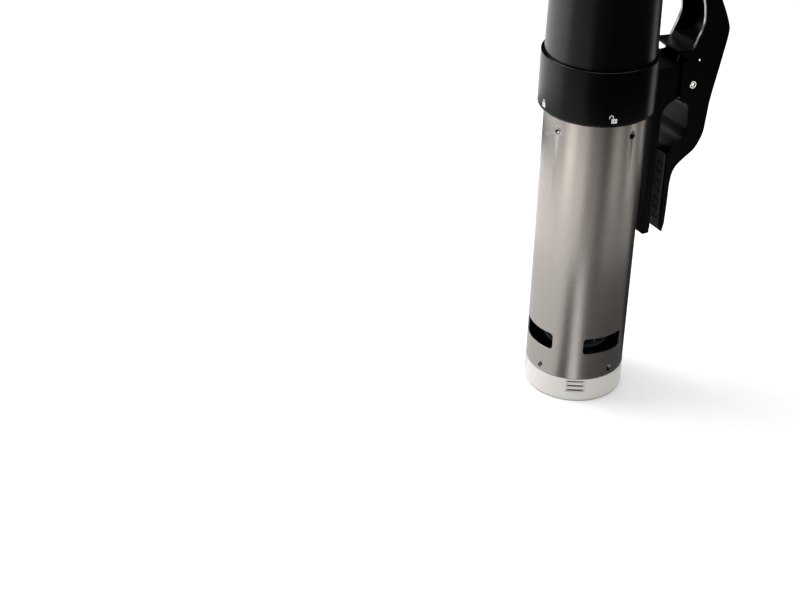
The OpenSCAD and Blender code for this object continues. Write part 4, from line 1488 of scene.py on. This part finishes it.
@dataclass
class Clamp(Assembly):
    """The bracket, its sprung lever and the pads that hold a rim."""

    half: float = 12.6
    pivot: Pair = (58.6, 190.8)
    front: float = 50.6
    shoulder: float = 47.0
    arch: Pair = (48.0, 173.3)
    arch_radius: float = 10.0
    seat: float = 46.0
    pad_top: float = 148.0
    jaw_low: float = 98.0
    channel_low: float = 178.0
    channel_top: float = 207.6
    channel_half: float = 10.1
    channel_back: float = 69.5
    rim: float = 0.5
    strip_width: float = 2.1
    strip_inset: float = 0.4
    grip_wall: float = 2.9
    strip_proud: float = 0.3
    strip_deep: float = 1.0
    screw_head: float = 2.4
    screw_shank: float = 1.8
    screw_proud: float = 0.5
    socket: float = 1.25
    pin: Pair = (61.4, 205.8)
    pin_radius: float = 0.8
    wire: float = 0.6
    spring_radius: float = 3.5
    spring_turns: int = 4
    grip: Tuple[Pair, ...] = (
        (-1.2, 22.4), (1.7, 28.9), (3.4, 32.6), (4.5, 36.3), (4.7, 40.2), (3.6, 48), (1.5, 54.5), (-1, 63),
        (-2.5, 73), (-2.7, 82), (-1.7, 90))
    grip_floor: Tuple[Pair, ...] = (
        (4, 26), (9.6, 27.4), (13, 31), (14.3, 36.5), (13, 43), (9.3, 50.5), (5.6, 58), (2.9, 66), (2, 74),
        (1.2, 80), (-1.5, 83.5))
    back: Tuple[Pair, ...] = (
        (7.4, 91.5), (6, 82), (5.8, 72), (8.4, 61), (14.1, 50.8), (18.6, 41.8), (21.5, 35), (22.7, 30.4),
        (22.1, 24.5), (20.5, 16.5), (18.4, 6), (15.8, -6), (14.3, -14.5), (13.4, -24), (12, -34),
        (7.2, -42.5), (0, -47.5), (-6, -52.5), (-8.4, -60), (-8.8, -75), (-9.2, -89))
    toe: Tuple[Corner, ...] = (
        (50.6, 203.6, 0.6), (51.6, 205.3, 0.8), (56.6, 205.3, 1.2), (49.9, 210.6, 1.0), (46.3, 213.1, 0.6),
        (46.6, 214.3, 0.6))

    def build(self) -> None:
        """Builds the clamp."""
        self.soften("clamp_bracket", Look.CLAMP_BLACK, 0.35, 3)
        self.soften("bracket_screws", Look.SCREW_STEEL, 0.2)
        self.soften("inner_jaw_pad", Look.RUBBER, 0.18)
        self.soften("outer_jaw_pad", Look.RUBBER, 0.18)
        self.lever()
        self.strips()
        self.screw()
        self.spring()

    def from_pivot(self, points: Iterable[Pair]) -> List[Pair]:
        """Returns points given from the pivot in the part's own frame."""
        return [(self.pivot[0] + y, self.pivot[1] + z) for y, z in points]

    def outline(self) -> List[Pair]:
        """Draws the lever.

        Returns:
            Its outline, counterclockwise seen from +X.
        """
        y, z = self.arch
        rise = math.degrees(math.acos((self.front - y) / self.arch_radius))
        arm = spline([(self.seat, self.pad_top + 2), (self.seat + 3, self.pad_top + 5),
                      (self.seat + 9, self.pad_top + 9), (y + self.arch_radius, self.pad_top + 15)], 5)
        throat = arc(self.arch, self.arch_radius, 0, rise, 10)[1:]
        grip = spline(self.from_pivot(self.grip))
        toe = rounded([(*throat[-1], 0), *self.toe, (*grip[0], 0)], 4)[1:-1]
        tip = arc((self.pivot[0] + 2.9, self.pivot[1] + 90.3), 5, 155, 25, 10)
        clockwise = [(self.seat, self.jaw_low), *arm, *throat, *toe, *grip, *tip,
                     *spline(self.from_pivot(self.back)), (self.seat + 2, self.jaw_low - 2)]
        return list(reversed(clockwise))

    def lever(self) -> None:
        """Builds the lever's moulding, hollow at the grip and round the bracket's ears."""
        moulding = slab("lever_moulding", self.outline(), self.half, self.rim)
        hollows = bmesh.new()
        front, back = self.shoulder - 8, self.channel_back
        corners = [(front, self.channel_low), (back, self.channel_low), (back, self.channel_top),
                   (front, self.channel_top)]
        prism(hollows, corners, -self.channel_half, self.channel_half, along_x)
        grip = self.from_pivot([(-8, 83.5), (-8, 25.5), *spline(self.grip_floor, 6)])
        wall = self.half - self.grip_wall
        prism(hollows, grip, -wall, wall, along_x)
        for centre, radius in ((self.pivot, self.screw_head + 0.1), (self.pin, self.pin_radius + 0.1)):
            for side in (-1, 1):
                ends = sorted((side * (self.half - 1.2), side * (self.half + 1)))
                prism(hollows, circle(centre, radius, 48), *ends, along_x)
        self.add(evened(cut_out(moulding, hollows)), Look.CLAMP_BLACK, "lever_body")

    def strips(self) -> None:
        """Builds the two bright strips inlaid along the grip."""
        edge = spline(self.from_pivot(self.grip))[:75]
        deep = (self.strip_deep + self.strip_proud) / 2
        section = round_box((0, 0), self.strip_width, 2 * deep, 0.3, 3)
        path: List[Vector] = []
        last = len(edge) - 1
        for i, (y, z) in enumerate(edge):
            along = (Vector(edge[min(i + 1, last)]) - Vector(edge[max(i - 1, 0)])).normalized()
            shift = self.strip_proud - deep
            path.append(Vector((0, y - along.y * shift, z + along.x * shift)))
        both = bmesh.new()
        for side in (-1, 1):
            middle = side * (self.half - self.strip_inset - self.strip_width / 2)
            strip = rod("strip", [p + Vector((middle, 0, 0)) for p in path], section, Vector((1, 0, 0)), 3)
            both.from_mesh(strip.data)
            bpy.data.objects.remove(strip)
        self.add(as_object("lever_strips", both), Look.BRIGHT_TRIM, "lever_trim")

    def across(self, name: str, corners: Sequence[Corner], centre: Pair,
               segments: int = 64) -> bpy.types.Object:
        """Turns a profile round an axis that runs along X.

        Args:
            name: The piece's name.
            corners: The profile's corners as (radius, x, rounding).
            centre: The axis in Y and Z.
            segments: Steps round the axis.

        Returns:
            The piece.
        """
        piece = turned(name, corners, 4, segments)
        piece.data.transform(Matrix.Translation(along_x(*centre, 0)) @ Matrix.Rotation(math.pi / 2, 4, "Y"))
        return piece

    def screw(self) -> None:
        """Builds the pivot screw with its hexagon socket, its nut and the spring's pin."""
        end = self.half + self.screw_proud
        seat = end - 1.7
        screw = self.across("pivot_bolt", [
            (0, -seat, 0), (self.screw_shank, -seat, 0.2), (self.screw_shank, seat, 0),
            (self.screw_head, seat, 0.1), (self.screw_head, end, 0.35), (0, end, 0)], self.pivot)
        socket = bmesh.new()
        prism(socket, circle(self.pivot, self.socket, 6, 10), end - 0.45, end + 1, along_x)
        self.add(cut_out(screw, socket), Look.SCREW_STEEL, "pivot_screw")
        nut = self.across("pivot_cap", [
            (0, -end, 0), (self.screw_head, -end, 0.45), (self.screw_head, -seat, 0.1), (0, -seat, 0)],
            self.pivot)
        self.add(nut, Look.SCREW_STEEL, "pivot_nut")
        reach = self.half + 0.2
        pin = self.across("spring_rivet", [
            (0, -reach, 0), (self.pin_radius, -reach, 0.35), (self.pin_radius, reach, 0.35), (0, reach, 0)],
            self.pin, 40)
        self.add(pin, Look.SCREW_STEEL, "spring_pin")

    def spring(self) -> None:
        """Builds the torsion spring round the pivot."""
        pitch = 2 * self.wire + 0.1
        y, z = self.pin[0] - self.pivot[0], self.pin[1] - self.pivot[1]
        beside = self.spring_radius - self.pin_radius - self.wire - 0.05
        start = math.pi - math.atan2(y, z) - math.asin(beside / math.hypot(y, z))

        def at(turn: float, past: float) -> Vector:
            """Finds a point of the spring.

            Args:
                turn: How many turns along the coil it is.
                past: How far past that, on the tangent.

            Returns:
                The point in millimetres.
            """
            angle = start + 2 * math.pi * turn
            return Vector((pitch * (turn - self.spring_turns / 2),
                           self.pivot[0] + self.spring_radius * math.cos(angle) - past * math.sin(angle),
                           self.pivot[1] + self.spring_radius * math.sin(angle) + past * math.cos(angle)))

        end = self.spring_turns + 0.25
        path = [at(0, -reach) for reach in (16, 12, 8, 4, 1.5)]
        path += [at(i / 40, 0) for i in range(int(end * 40) + 1)]
        path += [at(end, reach) for reach in (1.5, 4, 8)]
        spring = rod("pivot_spring", path, circle((0, 0), self.wire, 12), Vector((1, 0, 0)), 2)
        self.add(spring, Look.SPRING_STEEL, "torsion_spring")


@dataclass
class Works(Assembly):
    """What the sleeve holds: the heater, the probes, the shaft's tube and the impeller."""

    tube: float = 3.2
    leg: float = 9.8
    coil: float = 16.0
    low: float = 64.0
    pitch: float = 14.0
    turns: int = 5
    end: float = 174.0
    hub_low: float = 162.0
    lead: float = 180.0
    swing: float = 12.0

    def build(self) -> None:
        """Builds the works."""
        self.heater()
        self.soften("shaft_tube", Look.HEATER_STEEL, 0.15)
        self.soften("lower_bush", Look.PALE_PLASTIC, 0.15)
        self.soften("motor_shaft", Look.SPRING_STEEL, 0.25)
        self.soften("impeller", Look.IMPELLER_PLASTIC, 0.3)
        self.soften("impeller_clip", Look.SPRING_STEEL, 0.15)
        self.soften("temperature_probe", Look.HEATER_STEEL, 0.0)
        self.soften("level_rods", Look.HEATER_STEEL, 0.3)

    def at(self, radius: float, angle: float, z: float) -> Vector:
        """Returns a point given round the axis."""
        turn = math.radians(angle)
        return Vector((radius * math.cos(turn), radius * math.sin(turn), z))

    def heater(self) -> None:
        """Builds the heater: down its inner leg, round the coil and up its outer leg."""
        path = [self.at(self.leg, 0, z) for z in (self.end, self.hub_low, 120, self.low + 12)]
        path += [self.at(self.leg, 0, self.low + 12 - 8 * i / 8) for i in range(1, 9)]
        for i in range(1, 25):
            t = i / 24
            ease = t * t * (3 - 2 * t)
            drop = 4 - 4 * math.sin(math.pi / 2 * t)
            path.append(self.at(self.leg + (self.coil - self.leg) * ease, self.lead * t * t, self.low + drop))
        for i in range(1, self.turns * 48 + 1):
            t = i / 48
            path.append(self.at(self.coil, self.lead + 360 * t, self.low + self.pitch * t))
        top = self.low + self.pitch * self.turns
        for i in range(1, 11):
            t = i / 10
            path.append(self.at(self.coil, self.lead + self.swing * (1 - (1 - t) ** 2), top + 1 + 9 * t * t))
        path += [self.at(self.coil, self.lead + self.swing, z) for z in (self.hub_low - 2, self.end)]
        tube = rod("heater_tube", path, circle((0, 0), self.tube, 24), Vector((0, 1, 0)))
        self.add(tube, Look.HEATER_STEEL, "heater_coil")


@dataclass
class Drive(Assembly):
    """What the body holds: the bulkhead, the motor and its boards."""

    def build(self) -> None:
        """Builds the drive."""
        looks = {
            "bulkhead": Look.DARK_PLASTIC, "triac": Look.GLOSS_BLACK, "triac_heatsink": Look.ALUMINIUM,
            "housing_screws": Look.SCREW_STEEL, "motor_mount": Look.ALUMINIUM,
            "motor_screws": Look.SCREW_STEEL, "motor_can": Look.ALUMINIUM, "motor_stator": Look.WINDING,
            "motor_bearings": Look.SCREW_STEEL, "motor_rotor": Look.ROTOR_IRON,
            "cooling_fan": Look.DARK_PLASTIC, "power_board": Look.BOARD}
        for node, look in looks.items():
            self.soften(node, look, 0.2)
        self.soften("bulkhead_seal", Look.RUBBER, 0.0)
        self.soften("shaft_seal", Look.RUBBER, 0.15)


# ---------------------------------------------------------------- studio


@dataclass(frozen=True)
class Lamp:
    """A soft rectangular light."""

    name: str
    place: Tuple[float, float, float]
    aim: Tuple[float, float, float]
    size: Pair
    power: float
    colour: Colour = (1.0, 1.0, 1.0)
    only: Tuple[str, ...] = ()

    def build(self) -> None:
        """Hangs the light, on the pieces that it is meant for if it names any."""
        data = bpy.data.lights.new(self.name, "AREA")
        data.shape = "RECTANGLE"
        data.size, data.size_y = self.size
        data.energy = self.power
        data.color = self.colour
        lamp = bpy.data.objects.new(self.name, data)
        lamp.visible_camera = False
        lamp.location = self.place
        lamp.rotation_euler = (Vector(self.aim) - Vector(self.place)).to_track_quat("-Z", "Y").to_euler()
        bpy.context.scene.collection.objects.link(lamp)
        if self.only:
            lit = bpy.data.collections.new(f"lit_by_{self.name}")
            for name in self.only:
                lit.objects.link(bpy.data.objects[name])
            lamp.light_linking.receiver_collection = lit


@dataclass(frozen=True)
class Flag:
    """A grey card on the floor that only reflections see: a piece of a fan round the object."""

    name: str
    start: float
    end: float
    near: float
    far: float
    tone: float
    level: float = 0.0008
    steps: int = 24

    def build(self, turn: float) -> None:
        """Lays the card.

        Args:
            turn: The fan's own turn, in degrees.
        """
        mesh = bmesh.new()
        start, end = turn + self.start, turn + self.end
        rows = [arc((0, 0), reach, start, end, self.steps) for reach in (self.near, self.far)]
        low, high = ([mesh.verts.new((x, y, self.level)) for x, y in row] for row in rows)
        for i in range(self.steps):
            mesh.faces.new((low[i], low[i + 1], high[i + 1], high[i]))
        card = as_object(self.name, mesh)
        shader = Shader(self.name)
        cloud = shader.noise(6.0, 2.0)
        shader.set("Base Color", shader.blend(cloud, (self.tone,) * 3, (self.tone * 1.2,) * 3))
        shader.set("Roughness", 0.9)
        shader.set("Specular IOR Level", 0.0)
        card.data.materials.append(shader.material)
        card.visible_camera = card.visible_diffuse = card.visible_shadow = card.visible_transmission = False


@dataclass
class Studio:
    """The camera, the floor and the soft light round them."""

    camera_place: Tuple[float, float, float] = (0.7417, -0.5512, 0.6001)
    azimuth: float = 60.17
    elevation: float = 30.97
    roll: float = 1.62
    lens: float = 78.53
    floor_size: float = 3.0
    backdrop: float = 0.55
    turn: float = -29.83
    fan: Tuple[Pair, ...] = ((-52, 0.13), (-22, 0.07), (5, 0.025), (50, 0.06), (88, 0.06))
    fan_reach: float = 0.385
    lamps: Tuple[Lamp, ...] = (
        Lamp("key_left", (-0.42, -0.42, 0.62), (-0.3, -0.3, 0.0), (0.5, 0.5), 5, (0.97, 0.97, 1.0)),
        Lamp("top_soft", (-0.2, 0.1, 1.5), (-0.2, 0.1, 0.0), (1.6, 1.6), 22),
        Lamp("spark", (0.3, 0.24, 0.02), (0.01, 0.06, 0.19), (0.2, 0.2), 0.35, (1.0, 0.97, 0.9),
             ("pivot_bolt", "pivot_cap", "spring_rivet")))
    cards: Tuple[Flag, ...] = (
        Flag("flag_low_left", -160, -34, 0.04, 0.19, 0.5),
        Flag("flag_low_streak", -34, -14, 0.04, 0.19, 0.05),
        Flag("flag_low_right", 2, 112, 0.04, 0.19, 0.09),
        Flag("flag_near_left", -160, -17, 0.19, 0.3, 0.62),
        Flag("flag_near_front", -17, 12, 0.19, 0.335, 0.26),
        Flag("flag_near_dark", 12, 32, 0.19, 0.335, 0.12),
        Flag("flag_near_right", 32, 112, 0.19, 0.335, 0.26),
        Flag("flag_near_back", 112, 180, 0.04, 0.335, 0.005),
        Flag("flag_collar_left", -180, -75, 0.335, 0.42, 0.005),
        Flag("flag_collar_front", -75, -26, 0.335, 0.4, 0.12),
        Flag("flag_far_left", -75, -26, 0.4, 1.4, 0.27),
        Flag("flag_far_front", -26, 112, 0.335, 1.4, 0.005),
        Flag("flag_far_right", 112, 176, 0.335, 1.4, 0.4))

    def build(self) -> None:
        """Builds the studio."""
        self.camera()
        self.floor()
        self.world()
        self.lights()
        for card in self.cards:
            card.build(self.turn)

    def camera(self) -> None:
        """Makes the camera, with a plain view of the colours."""
        azimuth, elevation, roll = (math.radians(x) for x in (self.azimuth, self.elevation, self.roll))
        level = math.cos(elevation)
        back = Vector((math.sin(azimuth) * level, -math.cos(azimuth) * level, math.sin(elevation)))
        right = (-back).cross(Vector((0, 0, 1))).normalized()
        up = back.cross(right)
        across = math.cos(roll) * right + math.sin(roll) * up
        rise = -math.sin(roll) * right + math.cos(roll) * up
        data = bpy.data.cameras.new("studio_camera")
        data.lens = self.lens
        data.sensor_width = 36
        data.clip_start, data.clip_end = 0.01, 20
        camera = bpy.data.objects.new("studio_camera", data)
        turn = Matrix((across, rise, back)).transposed().to_4x4()
        camera.matrix_world = Matrix.Translation(self.camera_place) @ turn
        bpy.context.scene.collection.objects.link(camera)
        bpy.context.scene.camera = camera
        bpy.context.scene.view_settings.view_transform = "Standard"

    def floor(self) -> None:
        """Makes the pale floor."""
        mesh = bmesh.new()
        bmesh.ops.create_grid(mesh, x_segments=8, y_segments=8, size=self.floor_size / 2)
        floor = as_object("studio_floor", mesh)
        floor.location.z = -0.0002
        shader = Shader("studio_paper")
        cloud = shader.noise(3.0, 2.0)
        shader.set("Base Color", shader.blend(cloud, (0.86, 0.86, 0.86), (0.9, 0.9, 0.9)))
        shader.set("Roughness", 0.6 + 0.05 * cloud)
        floor.data.materials.append(shader.material)

    def world(self) -> None:
        """Fills the studio with plain pale light."""
        world = bpy.data.worlds.new("studio_world")
        world.use_nodes = True
        paper = world.node_tree.nodes["Background"]
        paper.inputs["Color"].default_value = (0.95, 0.96, 1.0, 1)
        paper.inputs["Strength"].default_value = self.backdrop
        world.cycles_visibility.glossy = False
        bpy.context.scene.world = world

    def lights(self) -> None:
        """Hangs the lights: the studio's own, and a fan of small ones round the foot of the steel."""
        for lamp in self.lamps:
            lamp.build()
        for i, (angle, power) in enumerate(self.fan):
            turn = math.radians(self.turn + angle)
            x, y = self.fan_reach * math.cos(turn), self.fan_reach * math.sin(turn)
            lamp = Lamp(f"sleeve_fan_{i}", (x, y, 0.003), (x, y, 1.0), (0.15, 0.15), power, (1.0, 0.96, 0.91),
                        ("sleeve_tube",))
            lamp.build()


def main() -> None:
    """Builds each sub-assembly from the bottom up and then the studio."""
    logging.basicConfig(level=logging.INFO, format="%(name)s %(message)s")
    for assembly in (BaseCap(), Sleeve(), Works(), Collar(), Body(), Drive(), Head(), Clamp()):
        assembly.build()
        LOG.info("%s has %d pieces", type(assembly).__name__, len(assembly.made))
    Studio().build()


if __name__ == "__main__":
    main()
